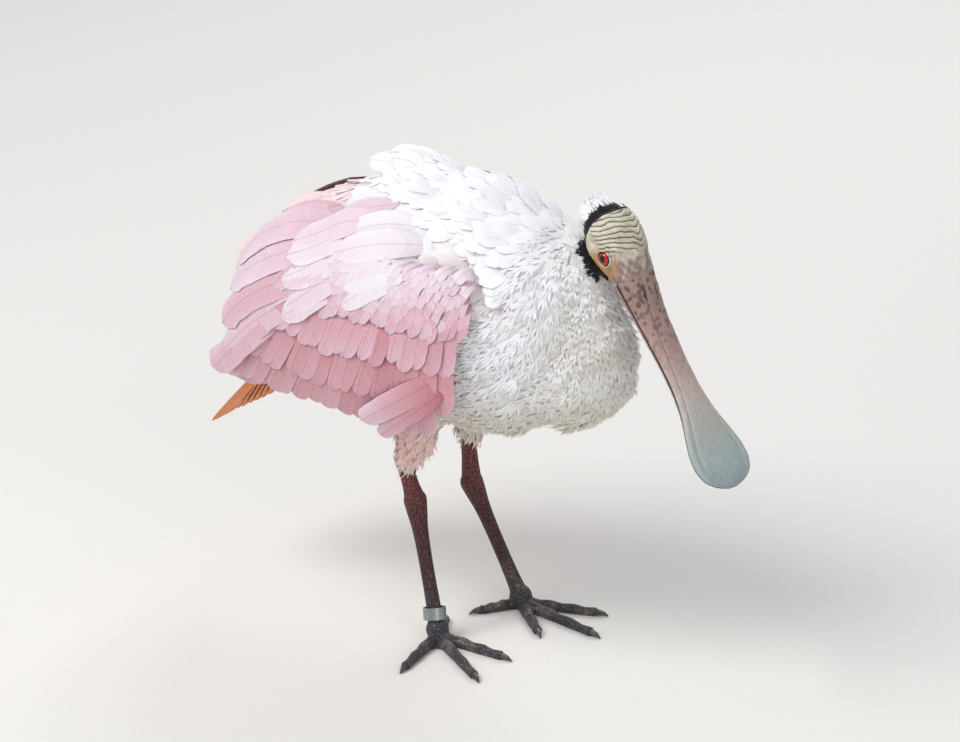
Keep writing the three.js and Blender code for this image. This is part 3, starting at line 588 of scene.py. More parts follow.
def bill_finish():
    """Bill horn: satin keratin, mauve-brown and blotched at the root, blue-grey on the spoon."""
    made, tree, shader = new_material("satin bill horn", Specular_IOR_Level=0.5, IOR=1.54)
    plume = add(tree, "ShaderNodeAttribute", {"attribute_name": "plume"}, out="Vector")
    apart = add(tree, "ShaderNodeSeparateXYZ", None, (plume,), out=None)
    lip = add(tree, "ShaderNodeAttribute", {"attribute_name": "lip"}, out="Fac")
    place_of = add(tree, "ShaderNodeTexCoord", out="Object")
    cloud = add(tree, "ShaderNodeTexNoise", None,
                {"Vector": place_of, "Scale": 90.0, "Detail": 5.0, "Roughness": 0.6})
    shifted = add(tree, "ShaderNodeMath", {"operation": "MULTIPLY_ADD"}, (cloud, 0.24, -0.12))
    spot = add(tree, "ShaderNodeMath", {"operation": "ADD"}, (apart[0], shifted))
    tones = add(tree, "ShaderNodeValToRGB", None, (spot,), [
        (0.0, "#96806F"), (1.0, "#8D9DA1"), (0.12, "#9A7B74"), (0.35, "#AE8F89"), (0.55, "#BDACA5"),
        (0.7, "#B0B0A8"), (0.88, "#A1AEAE")])
    # Dark blotches about 3 mm across, on the root half only
    blotch = add(tree, "ShaderNodeTexVoronoi", {"feature": "SMOOTH_F1"},
                 {"Vector": place_of, "Scale": 230.0, "Randomness": 1.0})
    dots = add(tree, "ShaderNodeMapRange", None, (blotch, 0.24, 0.42, 1.0, 0.0))
    zone = add(tree, "ShaderNodeMapRange", None, (apart[0], 0.12, 0.5, 0.85, 0.0))
    patchy = add(tree, "ShaderNodeMapRange", None, (cloud, 0.38, 0.52, 0.0, 1.0))
    where = add(tree, "ShaderNodeMath", {"operation": "MULTIPLY"}, (zone, patchy))
    share = add(tree, "ShaderNodeMath", {"operation": "MULTIPLY"}, (dots, where))
    spotted = add(tree, "ShaderNodeMix", TINT, {0: share, 6: tones, 7: "#4A3436"}, out=2)
    # Fine lengthwise grain: 1 mm streaks drawn along the horn
    fibre = add(tree, "ShaderNodeCombineXYZ", None, (apart[0], apart[1], 0.0))
    stretch = add(tree, "ShaderNodeMapping", None, {"Vector": fibre, "Scale": (14.0, 0.9, 1.0)})
    grain = add(tree, "ShaderNodeTexNoise", None,
                {"Vector": stretch, "Scale": 1.6, "Detail": 6.0, "Roughness": 0.65})
    streak = add(tree, "ShaderNodeMapRange", None, (grain, 0.3, 0.7, 0.78, 1.2))
    grained = add(tree, "ShaderNodeMix", SHADE, {0: 1.0, 6: spotted, 7: streak}, out=2)
    # Painted shade darkens the mouth's gap, the inner floor and the nostril
    edged = add(tree, "ShaderNodeMix", TINT, {0: lip, 6: grained, 7: "#33222A"}, out=2)
    rough = add(tree, "ShaderNodeMapRange", None, (grain, 0.3, 0.7, 0.34, 0.52))
    surface(tree, shader, edged, rough, grain, 0.0006)
    return made


def leg_finish():
    """Leg skin: small horny scales with dark seams, maroon above and dusty dark grey on the feet."""
    made, tree, shader = new_material("scaly leg skin", Specular_IOR_Level=0.4)
    place_of = add(tree, "ShaderNodeTexCoord", out="Object")
    height = add(tree, "ShaderNodeSeparateXYZ", None, (place_of,), out=2)
    squeezed = add(tree, "ShaderNodeMapping", None, {"Vector": place_of, "Scale": (1.0, 1.0, 0.75)})
    # Scales about 2.6 mm wide and a little longer
    seam = add(tree, "ShaderNodeTexVoronoi", {"feature": "DISTANCE_TO_EDGE"},
               {"Vector": squeezed, "Scale": 380.0, "Randomness": 0.75})
    plate = add(tree, "ShaderNodeMapRange", {"interpolation_type": "SMOOTHSTEP"},
                (seam, 0.0, 0.16, 0.0, 1.0))
    cloud = add(tree, "ShaderNodeTexNoise", None,
                {"Vector": place_of, "Scale": 70.0, "Detail": 4.0, "Roughness": 0.6})
    wander = add(tree, "ShaderNodeMath", {"operation": "MULTIPLY_ADD"}, (cloud, 0.05, -0.025))
    level = add(tree, "ShaderNodeMath", {"operation": "ADD"}, (height, wander))
    # From the toes up to 130 mm above the floor
    reach = add(tree, "ShaderNodeMapRange", None, (level, 0.0, 0.13, 0.0, 1.0))
    tones = add(tree, "ShaderNodeValToRGB", None, (reach,), [
        (0.0, "#46434A"), (1.0, "#7A3C3C"), (0.14, "#4A4348"), (0.3, "#45292C"), (0.62, "#4E282A"),
        (0.8, "#693536")])
    dust = add(tree, "ShaderNodeMapRange", None, (cloud, 0.5, 0.68, 0.0, 0.4))
    low = add(tree, "ShaderNodeMapRange", None, (height, 0.012, 0.05, 1.0, 0.12))
    pale = add(tree, "ShaderNodeMath", {"operation": "MULTIPLY"}, (dust, low))
    dusty = add(tree, "ShaderNodeMix", TINT, {0: pale, 6: tones, 7: "#A39B88"}, out=2)
    seams = add(tree, "ShaderNodeMapRange", None, (plate, 0.0, 1.0, 0.45, 1.06))
    scaled = add(tree, "ShaderNodeMix", SHADE, {0: 1.0, 6: dusty, 7: seams}, out=2)
    rough = add(tree, "ShaderNodeMapRange", None, (cloud, 0.3, 0.7, 0.4, 0.62))
    surface(tree, shader, scaled, rough, plate, 0.0006)
    return made


def claw_finish():
    """Claw horn: dark, smooth and a little worn to a paler brown."""
    made, tree, shader = new_material("dark claw horn", IOR=1.54)
    place_of = add(tree, "ShaderNodeTexCoord", out="Object")
    worn = add(tree, "ShaderNodeTexNoise", None, {"Vector": place_of, "Scale": 400.0, "Detail": 4.0})
    colour = add(tree, "ShaderNodeValToRGB", None, (worn,), [(0.35, "#26232A"), (0.75, "#5C544E")])
    rough = add(tree, "ShaderNodeMapRange", None, (worn, 0.3, 0.7, 0.3, 0.55))
    surface(tree, shader, colour, rough, worn, 0.0002)
    return made


def eye_finish():
    """Glass eye: a clear domed front over a red iris with a dark rim, streaks and a black pupil."""
    made, tree, shader = new_material("glossy glass eye", Roughness=0.1, Coat_Weight=0.3,
                                      Coat_Roughness=0.02, Specular_IOR_Level=0.25)
    ring = add(tree, "ShaderNodeAttribute", {"attribute_name": "ring"}, out="Fac")
    place_of = add(tree, "ShaderNodeTexCoord", out="Object")
    fleck = add(tree, "ShaderNodeTexNoise", None, {"Vector": place_of, "Scale": 1600.0, "Detail": 3.0})
    shifted = add(tree, "ShaderNodeMath", {"operation": "MULTIPLY_ADD"}, (fleck, 0.3, -0.15))
    spot = add(tree, "ShaderNodeMath", {"operation": "ADD"}, (ring, shifted))
    # Ring counts mm from the eye's middle line, over 10: the pupil is 4.6 mm across and the iris 9.6
    colour = add(tree, "ShaderNodeValToRGB", None, (ring,), [
        (0.0, "#060406"), (1.0, "#2A1A18"), (0.215, "#060406"), (0.24, "#7A100C"), (0.33, "#D02A1E"),
        (0.42, "#B81C18"), (0.47, "#3A0E0E"), (0.5, "#1B0F0F")])
    glow = add(tree, "ShaderNodeMapRange", None, (spot, 0.1, 0.5, 0.75, 1.15))
    iris = add(tree, "ShaderNodeMix", SHADE, {0: 1.0, 6: colour, 7: glow}, out=2)
    surface(tree, shader, iris)
    return made


def ring_finish():
    """Leg ring: rolled aluminium strip, dulled and finely scratched by wear."""
    made, tree, shader = new_material("worn aluminium strip", Metallic=1.0)
    place_of = add(tree, "ShaderNodeTexCoord", out="Object")
    around = add(tree, "ShaderNodeMapping", None, {"Vector": place_of, "Scale": (1.0, 1.0, 7.0)})
    scratch = add(tree, "ShaderNodeTexNoise", None,
                  {"Vector": around, "Scale": 500.0, "Detail": 5.0, "Roughness": 0.7})
    colour = add(tree, "ShaderNodeValToRGB", None, (scratch,), [(0.3, "#7C8284"), (0.7, "#B4B8B8")])
    rough = add(tree, "ShaderNodeMapRange", None, (scratch, 0.3, 0.7, 0.28, 0.5))
    surface(tree, shader, colour, rough, scratch, 0.0001)
    return made


def floor_finish(hex_code):
    """Studio floor: matt painted card with a barely visible tooth."""
    made, tree, shader = new_material("matt painted card", Roughness=0.9)
    place_of = add(tree, "ShaderNodeTexCoord", out="Object")
    tooth = add(tree, "ShaderNodeTexNoise", None, {"Vector": place_of, "Scale": 300.0})
    tone = linear(hex_code)
    colour = add(tree, "ShaderNodeValToRGB", None, (tooth,),
                 [(0.3, tuple(c * 0.98 for c in tone)), (0.7, tone)])
    surface(tree, shader, colour, None, tooth, 0.0001)
    return made


# The skin

def head_form():
    """Head loft with its folds and lids: points, faces and the attributes of its colours and its painted
    shade.
    """
    stations, around = 210, 216
    along = np.linspace(HEAD[0][0], HEAD[-1][0], stations)
    angle = np.linspace(-np.pi, np.pi, around, endpoint=False)
    half, up_size, down_size = np.moveaxis(sizes(HEAD, along), -1, 0)
    along2, angle2 = np.meshgrid(along, angle, indexing="ij")
    out = half[:, None] * np.sin(angle2)
    up = np.where(np.cos(angle2) > 0, up_size[:, None], down_size[:, None]) * np.cos(angle2)
    points = head_point(along2, out, up)
    normal = unit(np.cross(np.gradient(points, axis=0), np.gradient(points, axis=1)))
    normal *= np.sign(((points - HEAD_CENTRE) * normal).sum(-1).mean())
    gap, width = band_places(along2.ravel(), up.ravel())
    gap = gap.reshape(along2.shape)
    width = width.reshape(along2.shape)
    side = np.abs(out)
    bare = smooth(-1.2, 0.2, -gap - width)

    # Furrows run over the crown from side to side, about 4 mm apart, closer towards the band
    level = -0.86 * along2 + 0.5 * up - 0.24 * side
    spread = 2.9 + 0.075 * (19 - side) + 0.02 * (along2 + 10)
    phase = level / spread + 0.32 * waves(points, 17, 3) + 0.1 * waves(points, 6, 4)
    crest = np.abs(np.sin(np.pi * phase))
    crown = smooth(-2, 5, up) * smooth(24, 16, along2 + 0.3 * side) * bare
    groove = crown * np.exp(-(crest / 0.3) ** 2)
    fold = crown * (crest ** 0.6)

    # Lids: a socket that the eye fills, a rounded rim, and a finer ring outside it
    eye_gap = np.hypot(along2 - EYE["along"], up - EYE["up"])
    near = (side > 8) * 1.0
    socket = near * smooth(5.7, 4.7, eye_gap)
    rim = near * bump(eye_gap - 6.1, 0.85)
    outer = near * bump(eye_gap - 8.6, 0.9)
    crease = near * (bump(eye_gap - 7.35, 0.4) + 0.6 * bump(eye_gap - 9.9, 0.45))
    beside = near * smooth(20, 10, eye_gap)
    fine = (0.25 * waves(points, 3.2, 8) + 0.3 * waves(points, 7, 9)) * bare * (1 - crown)

    lift = 0.9 * fold - 0.7 * groove - 2.6 * socket + 0.95 * rim + 0.4 * outer - 0.35 * crease
    lift = lift + 0.35 * fine - 2.4 * (1 - bare) * smooth(0, 4, gap + width + 1)
    points = points + normal * lift[..., None]

    below = smooth(3, -6, up - EYE["up"]) * smooth(19, 9, np.hypot(along2 - 17, up + 8))
    front = bump(np.hypot(along2 - 21, up - 2), 5)
    orange = bare * near * np.clip(0.9 * below + 0.7 * front, 0, 1) * smooth(5.8, 9, eye_gap)
    orange *= np.clip(0.75 + 0.35 * waves(points, 9, 12), 0, 1)
    dusk = bare * smooth(15, 27, along2 + 4 * waves(points, 12, 14) + 0.25 * up)
    dusk = dusk * np.clip(0.8 + 0.35 * waves(points, 5, 15), 0, 1)
    # Painted shade in the grooves, the lid creases and small hollows beside the eye; the lid round the
    # socket gets it too
    furrow = np.clip(0.95 * groove + 0.55 * crease + 0.25 * np.clip(-fine, 0, 1) * beside, 0, 1)
    lid_shade = near * smooth(6.2, 5.2, eye_gap)
    values = {
        "furrow": np.maximum(furrow, 0.7 * lid_shade).ravel(), "orange": orange.ravel(),
        "dusk": dusk.ravel(), "bare": bare.ravel(),
    }
    faces = outward(points, tube_faces(stations, around))
    return points.reshape(-1, 3), faces, values


def flesh_form():
    """Trunk, neck and thighs as overlapping closed forms, sunk by the coat's depth."""
    x = np.linspace(TRUNK[0][0] + 3, TRUNK[-1][0] - 2, 90)
    angle = np.linspace(0, 2 * np.pi, 96, endpoint=False)
    forms = [trunk_point(x[:, None] + 0 * angle, angle[None, :] + 0 * x[:, None], -COAT_DEPTH)]
    neck = smooth_path(NECK, 60)
    forms.append(swept(neck[:, :3], neck[:, 3] - COAT_DEPTH, 64))
    for hip, leaving in THIGHS.values():
        hip, leaving = np.array(hip, float), np.array(leaving, float)
        shares = np.linspace(0, 1, 30)
        radii = sizes(np.c_[(0, .33, .72, 1), THIGH_RADII], shares)[:, 0]
        path = hip + shares[:, None] * (leaving - hip)
        forms.append(swept(path, radii - THIGH_COAT_DEPTH, 32))
    gather = Gather()
    for form in forms:
        gather.add(form, outward(form, tube_faces(*form.shape[:2])))
    return gather.build("flesh")


def line_places(points, start, end):
    """The share of a straight line that each point is nearest to, and its distance from there."""
    start = np.array(start, float)
    run = np.array(end, float) - start
    share = np.clip(((points - start) @ run) / (run @ run), 0, 1)
    return share, np.linalg.norm(points - start - share[:, None] * run, axis=1)


def neck_gaps(points):
    """Stations along the neck, and how far each point lies outside each of them."""
    neck = smooth_path(NECK, 80)
    return neck, np.linalg.norm(points[:, None] - neck[None, :, :3], axis=-1) - neck[None, :, 3]


def crease_depth(points):
    """How deep the mantle's pressed creases are at each point, from 0 to 1, and in mm."""
    share = np.zeros(len(points))
    depth = np.zeros(len(points))
    mirrored = points * np.where(points[:, 1:2] > 0, (1, -1, 1), 1)
    for start, end, width, deep in CREASES:
        t, away = line_places(mirrored, start, end)
        here = bump(away, width) * np.sin(np.pi * np.clip(t, 0.08, 0.92)) ** 0.5
        share = np.maximum(share, here)
        depth = np.maximum(depth, here * deep)
    return share, depth


def lie_of_coat(points):
    """The way that feathers point at each place: back over the trunk, down the neck and thighs."""
    x = points[:, 0]
    slope = np.radians(14 + 50 * smooth(20, 95, x) + 22 * smooth(230, 165, points[:, 2]))
    slope = slope + np.radians(14) * smooth(-110, -200, x)
    flow = np.stack([-np.cos(slope), 0 * x, -np.sin(slope)], -1)
    neck, away = neck_gaps(points)
    tangent = unit(np.gradient(neck[:, :3], axis=0))
    nearest = np.argmin(away, axis=1)
    share = smooth(8, -2, away[np.arange(len(points)), nearest]) * smooth(60, 84, x)
    flow = flow + share[:, None] * (-2.2 * tangent[nearest] - flow)
    along, out, up = head_places(points)
    head = smooth(40, 26, np.linalg.norm(np.stack([along, out, up], -1), axis=1))
    flow = flow + head[:, None] * (-HEAD_FORWARD + np.array((0, 0, -0.3)) - flow)
    for hip, leaving in THIGHS.values():
        _, gap = line_places(points, hip, leaving)
        share = smooth(34, 22, gap) * smooth(172, 150, points[:, 2])
        flow = flow + share[:, None] * (unit(np.subtract(leaving, hip)) - flow)
    return flow


def field(mesh, name, values):
    """Stores a value or a vector for each vertex."""
    kind = "FLOAT" if values.ndim == 1 else "FLOAT_VECTOR"
    key = "value" if values.ndim == 1 else "vector"
    made = mesh.attributes.get(name) or mesh.attributes.new(name, kind, "POINT")
    made.data.foreach_set(key, values.astype(np.float32).ravel())


def zones(points):
    """Where each kind of plumage grows on the skin, from 0 to 1, with its blush and its painted shade."""
    x, y, z = points.T
    along, out, up = head_places(points)
    gap, width = band_places(along, up)
    by_head = np.linalg.norm(np.stack([along, out, up], -1), axis=1) < HEAD_REACH
    gap = np.where(by_head, gap, FAR_BEHIND)
    black = (np.abs(gap) < width) & by_head & (np.abs(out) < 24)
    coat = (gap > width) | ~by_head
    _, reach = neck_gaps(points)
    at_neck = (reach.min(axis=1) < 1.0) & (x > 76) & (z > 196)
    under_wing = (x < -34) & (x > -196) & (z > 232) & (z < 322) & (np.abs(y) > 30)
    curls = coat & at_neck & (z < 318)
    crown = coat & (by_head & (z > 318))
    low = z < 258 + 0.7 * (x - 20)
    down = coat & ~curls & ~crown & ~under_wing & (low | (x > 62))
    mantle = coat & ~curls & ~crown & ~under_wing & ~down
    crease, _ = crease_depth(points)
    flank = np.exp(-((x + 40) / 34) ** 2 - ((z - 150) / 24) ** 2) * smooth(14, 30, np.abs(y))
    rear = np.maximum(smooth(-95, -175, x) * smooth(250, 190, z), 0.7 * smooth(-70, -130, x))
    blush = np.clip(0.95 * crease + 0.8 * flank + 0.75 * rear + 0.1 * smooth(-20, -70, x), 0, 1)
    # Painted shade towards the plumage's darker beige: strongest on the underside below about 232 mm, less
    # on the front of the breast and on the neck above 240 mm
    cream = np.clip(0.85 * smooth(232, 168, z) + 0.35 * smooth(60, 110, x) * smooth(300, 240, z), 0, 1)
    cream = cream + 0.25 * (at_neck & (z > 240))
    return {
        "grow_black": black * 1.0, "grow_curls": curls * 1.0, "grow_crown": crown * 1.0,
        "grow_right": (down & (y <= 0)) * 1.0, "grow_left": (down & (y > 0)) * 1.0,
        "grow_mantle": mantle * 1.0,
        "blush": blush, "cream": np.clip(cream, 0, 1),
    }


def build_skin():
    """One skin for trunk, neck, thighs and head, with the fields that its plumage reads."""
    mesh = evened(flesh_form(), SKIN_GRAIN, 14, 0.6)
    points = read(mesh, "co") / MM - SHIFT
    normals = read(mesh, "normal")
    _, depth = crease_depth(points)
    soft_fall = 1.1 * waves(points, 26, 21) + 0.5 * waves(points, 11, 22)
    x, y, z = points.T
    between = smooth(44, 24, np.abs(y)) * smooth(-195, -170, x) * smooth(-30, -60, x) * smooth(190, 225, z)
    between = between * (sizes(WING_GUIDE, x)[:, 0] - sizes(TRUNK, x)[:, 0])
    below = smooth(-40, -15, x) * smooth(92, 76, x) * smooth(285, 325, z) * smooth(48, 26, np.abs(y))
    fuller = BACK_FULLNESS * between - MANTLE_DEPTH * below
    points = points + normals * (soft_fall - depth + fuller)[:, None]
    mesh.vertices.foreach_set("co", place(points).ravel())
    polygons = [tuple(face.vertices) for face in mesh.polygons]
    body = Gather()
    blank = np.zeros(len(points))
    body.add(points, polygons, furrow=blank, orange=blank, dusk=blank, bare=blank)
    head_points, head_faces, head_values = head_form()
    body.add(head_points, head_faces, **head_values)
    skin = body.build("skin")
    mesh = skin.data
    co = np.concatenate(body.points)
    normals = read(mesh, "normal")
    for name, values in zones(co).items():
        if name.startswith("grow") and name != "grow_black":
            values = values * (1 - np.r_[blank, head_values["bare"]])
        field(mesh, name, values)
    flow = lie_of_coat(co)
    flow = flow - (flow * normals).sum(-1, keepdims=True) * normals
    field(mesh, "flow", unit(flow))
    bpy.context.view_layer.objects.active = skin
    skin.select_set(True)
    bpy.ops.object.mode_set(mode="EDIT")
    bpy.ops.mesh.select_all(action="SELECT")
    bpy.ops.uv.smart_project(angle_limit=UNWRAP_ANGLE, island_margin=0.002)
    bpy.ops.object.mode_set(mode="OBJECT")
    mesh.uv_layers[0].name = "OFBake"
    skin.select_set(False)
    return skin


# The plumage that covers the skin

def tuft_mesh(name, blades, length, width, spread, curl, seed):
    """A soft tuft of narrow tapered blades that fan out from one root and point along +Y."""
    draw = np.random.default_rng(seed)
    gather = Gather()
    turns = np.linspace(-1, 1, blades) + draw.uniform(-0.25, 0.25, blades)
    for turn in turns:
        reach = length * draw.uniform(0.72, 1.08)
        wide = width * draw.uniform(0.8, 1.25)
        bend = curl * draw.uniform(0.6, 1.3)
        sideways = spread * turn
        rise = draw.uniform(0, 0.6)
        rings = []
        for share, size in ((0.0, 0.7), (0.52, 1.0)):
            middle = np.array((sideways * share, reach * share, rise + bend * share * share))
            half = wide * size / 2
            rings += [middle + (-half, 0, 0), middle + (0, 0, 0.3), middle + (half, 0, 0)]
        tip = np.array((sideways * 1.15, reach, rise + bend * 0.8))
        points = np.array(rings + [tip])
        faces = [(0, 1, 2), (0, 3, 4, 1), (1, 4, 5, 2), (2, 5, 3, 0), (3, 6, 4), (4, 6, 5), (5, 6, 3)]
        along = np.array([0, 0, 0, .52, .52, .52, 1])
        local = np.c_[(points[:, 0] / (2 * spread + width) + 0.5), points[:, 1] / length, 0 * along]
        gather.add(points - SHIFT, outward(points, faces), along=along, local=np.clip(local, 0, 1))
    return gather.mesh(name)


def leaf_mesh(name, length, width, cup, curl, seed):
    """A small contour feather: a thin cupped leaf with a rounded, slightly split tip, along +Y."""
    draw = np.random.default_rng(seed)
    shares = np.array((0.0, 0.3, 0.62, 0.86, 1.0))
    wide = np.array((0.35, 0.85, 1.0, 0.75, 0.3)) * width / 2 * draw.uniform(0.94, 1.06, 5)
    middle = np.c_[draw.uniform(-0.4, 0.4, 5), shares * length, curl * shares ** 2]
    left = middle + np.c_[-wide, draw.uniform(-0.6, 0.2, 5), -cup * (wide / width) * 2]
    right = middle + np.c_[wide, draw.uniform(-0.6, 0.2, 5), -cup * (wide / width) * 2]
    points = np.stack([left, middle + (0, 0, 0.25), right, middle - (0, 0, 0.2)], 1).reshape(-1, 3)
    faces = tube_faces(5, 4)
    local = np.c_[(points[:, 0] / width + 0.5), points[:, 1] / length, 0 * points[:, 0]]
    gather = Gather()
    gather.add(points - SHIFT, outward(points, faces), along=np.repeat(shares, 4),
               local=np.clip(local, 0, 1))
    return gather.mesh(name)


def coat_tree():
    """Geometry Nodes that scatter feathers over the skin along its lie, each with its bake patch."""
    tree = bpy.data.node_groups.new("plumage along the lie", "GeometryNodeTree")
    face = tree.interface
    face.new_socket("Skin", in_out="INPUT", socket_type="NodeSocketGeometry")
    for name, kind, default in (
        ("Growth Field", "NodeSocketString", "grow_mantle"), ("Feathers", "NodeSocketCollection", None),
        ("Spacing", "NodeSocketFloat", 0.004), ("Density", "NodeSocketFloat", 60000.0),
        ("Seed", "NodeSocketInt", 1), ("Lift", "NodeSocketFloat", 0.2), ("Stray", "NodeSocketFloat", 0.3),
        ("Smallest", "NodeSocketFloat", 0.8), ("Largest", "NodeSocketFloat", 1.2),
        ("Patch", "NodeSocketFloat", BAKE_PATCH), ("Finish", "NodeSocketMaterial", None),
    ):
        socket = face.new_socket(name, in_out="INPUT", socket_type=kind)
        if default is not None:
            socket.default_value = default
    face.new_socket("Plumage", in_out="OUTPUT", socket_type="NodeSocketGeometry")
    given = add(tree, "NodeGroupInput", out=None)
    grow, unwrap, lie, root, local = (
        add(tree, "GeometryNodeInputNamedAttribute", {"data_type": kind}, {"Name": name}, out="Attribute")
        for kind, name in (
            ("FLOAT", given["Growth Field"]), ("FLOAT_VECTOR", "OFBake"), ("FLOAT_VECTOR", "flow"),
            ("FLOAT_VECTOR", "root"), ("FLOAT_VECTOR", "local"))
    )
    spread = add(tree, "GeometryNodeDistributePointsOnFaces", {"distribute_method": "POISSON"}, {
        "Mesh": given["Skin"], "Distance Min": given["Spacing"], "Density Max": given["Density"],
        "Density Factor": grow, "Seed": given["Seed"],
    }, out=None)
    rooted = add(tree, "GeometryNodeStoreNamedAttribute", {"data_type": "FLOAT_VECTOR", "domain": "POINT"},
                 {"Geometry": spread["Points"], "Name": "root", "Value": unwrap})
    stand = add(tree, "FunctionNodeAxesToRotation", {"primary_axis": "Z", "secondary_axis": "Y"},
                {"Primary Axis": spread["Normal"], "Secondary Axis": lie})
    less = add(tree, "ShaderNodeMath", {"operation": "MULTIPLY"}, (given["Stray"], -1.0))
    seeds = [add(tree, "ShaderNodeMath", {"operation": "ADD"}, {0: given["Seed"], 1: float(k)})
             for k in (11, 12, 13, 14, 15)]
    yaw, roll, tilt, size = (
        add(tree, "FunctionNodeRandomValue", {"data_type": "FLOAT"}, {2: low, 3: high, "Seed": seed}, out=1)
        for seed, low, high in zip(seeds, (less, less, LEAST_TILT, given["Smallest"]),
                                   (given["Stray"], given["Stray"], 1.0, given["Largest"]))
    )
    raised = add(tree, "ShaderNodeMath", {"operation": "MULTIPLY"}, (tilt, given["Lift"]))
    turn = add(tree, "ShaderNodeCombineXYZ", None, (raised, roll, yaw))
    turned = add(tree, "FunctionNodeEulerToRotation", None, (turn,))
    aimed = add(tree, "FunctionNodeRotateRotation", {"rotation_space": "LOCAL"},
                {"Rotation": stand, "Rotate By": turned})
    pick = add(tree, "FunctionNodeRandomValue", {"data_type": "INT"}, {4: 0, 5: 3, "Seed": seeds[4]}, out=2)
    kinds = add(tree, "GeometryNodeCollectionInfo", None,
                {"Collection": given["Feathers"], "Separate Children": True, "Reset Children": True})
    set_out = add(tree, "GeometryNodeInstanceOnPoints", None, {"Points": rooted, "Instance": kinds,
                  "Pick Instance": True, "Instance Index": pick, "Rotation": aimed, "Scale": size})
    real = add(tree, "GeometryNodeRealizeInstances", None, (set_out,))
    small = add(tree, "ShaderNodeVectorMath", {"operation": "SCALE"}, {0: local, "Scale": given["Patch"]})
    spot = add(tree, "ShaderNodeVectorMath", {"operation": "ADD"}, (root, small))
    mapped = add(tree, "GeometryNodeStoreNamedAttribute", {"data_type": "FLOAT2", "domain": "CORNER"},
                 {"Geometry": real, "Name": "OFBake", "Value": spot})
    finished = add(tree, "GeometryNodeSetMaterial", None, {"Geometry": mapped, "Material": given["Finish"]})
    add(tree, "NodeGroupOutput", None, {0: finished}, out=None)
    return tree


def grow_coat(skin, name, growth, feathers, finish, spacing, seed, lift, stray, scales):
    """Runs the scatter for one growth field and returns its plumage as a plain mesh object."""
    tree = bpy.data.node_groups.get("plumage along the lie") or coat_tree()
    kinds = bpy.data.collections.new(name + " kinds")
    for i, mesh in enumerate(feathers):
        kinds.objects.link(bpy.data.objects.new(f"{name} kind {i}", mesh))
    ground = linked(name + " ground", skin.data)
    modifier = ground.modifiers.new("plumage", "NODES")
    modifier.node_group = tree
    wanted = {
        "Growth Field": growth, "Feathers": kinds, "Spacing": spacing * MM,
        "Density": 1.6 / (spacing * MM) ** 2, "Seed": seed, "Lift": lift, "Stray": stray,
        "Smallest": scales[0], "Largest": scales[1], "Patch": BAKE_PATCH, "Finish": finish,
    }
    for socket in tree.interface.items_tree:
        if socket.in_out == "INPUT" and socket.name in wanted:
            modifier[socket.identifier] = wanted[socket.name]
    graph = bpy.context.evaluated_depsgraph_get()
    mesh = bpy.data.meshes.new_from_object(ground.evaluated_get(graph), depsgraph=graph)
    ground.modifiers.clear()
    bpy.data.objects.remove(ground)
    for kind in list(kinds.objects):
        bpy.data.objects.remove(kind)
    bpy.data.collections.remove(kinds)
    if not mesh.polygons:
        raise RuntimeError(f"no feathers grew for {name}")
    for unused in [a.name for a in mesh.attributes if a.name.startswith(("grow_", "flow", "root", "local"))]:
        mesh.attributes.remove(mesh.attributes[unused])
    mesh.name = name
    mesh.shade_smooth()
    mesh.set_sharp_from_angle(angle=RIM_ANGLE)
    return linked(name, mesh)


# Flight feathers, scapulars and tail

def vane(gather, path, side, up, half, pigment, tint, cell, draw, columns=9, camber=0.12):
    """One flight feather along a path: closed, thin, cambered, with a slightly uneven rim."""
    count = len(path)
    across = np.linspace(-1, 1, columns)
    shares = tip_shares(count)
    reach = np.r_[0, np.cumsum(np.linalg.norm(np.diff(path, axis=0), axis=1))]
    rough = draw.normal(0, 0.035, (count, columns)) * smooth(0.25, 1, shares)[:, None] * np.abs(across)
    slide = draw.normal(0, 0.8, columns) * (0.3 + 0.7 * np.abs(across))
    slide = slide[None, :] * smooth(0.6, 1, shares)[:, None]
    tangent = unit(np.gradient(path, axis=0))
    offset = half[:, None] * (across[None, :] + rough)
    crown = half[:, None] * camber * (1 - across[None, :] ** 2)
    middle = (path[:, None] + side[:, None] * offset[..., None] + up[:, None] * crown[..., None]
              + tangent[:, None] * slide[..., None])
    body = VANE_THICKNESS * (1 - across[None, :] ** 2)[..., None] * up[:, None] / 2
    top, under = middle + body, (middle - body)[:, -2:0:-1]
    points = np.concatenate([top, under], 1)
    around = points.shape[1]
    u = np.r_[across, across[-2:0:-1]]
    across_mm = half[:, None] * u[None, :]
    q = reach[:, None] - 0.9 * np.abs(across_mm)
    fade = blend(pigment, shares)
    tone = fade[:, None] - 0.14 * np.abs(u)[None, :] ** 3 * smooth(0.2, 0.8, shares)[:, None]
    tone = np.clip(tone + draw.normal(0, 0.05), 0, 1)
    plume = np.stack([q, across_mm, np.full_like(q, tint * 40)], -1)
    corner, span = np.array(cell[:2]), cell[2]
    bake = corner + span * np.stack([0.06 + 0.88 * (u[None, :] + 1) / 2 + 0 * q,
                                     0.06 + 0.88 * shares[:, None] + 0 * q], -1)
    gather.add(points, outward(points, tube_faces(count, around)),
               pigment=tone.ravel(), plume=plume.reshape(-1, 3), OFBake=bake.reshape(-1, 2))


def tip_shares(count):
    """Shares of a feather's length, closer together towards its tip."""
    return 1 - (1 - np.linspace(0, 1, count)) ** 1.6


def rounded(shape, width, length, count):
    """Half widths of a vane along its length, with a round tip."""
    shares = tip_shares(count)
    start = 1 - 0.62 * width / length
    end = np.sqrt(np.clip(1 - (np.clip(shares - start, 0, 1) / (1 - start)) ** 2, 0.01, 1))
    return sizes(shape, shares)[:, 0] * end * width / 2


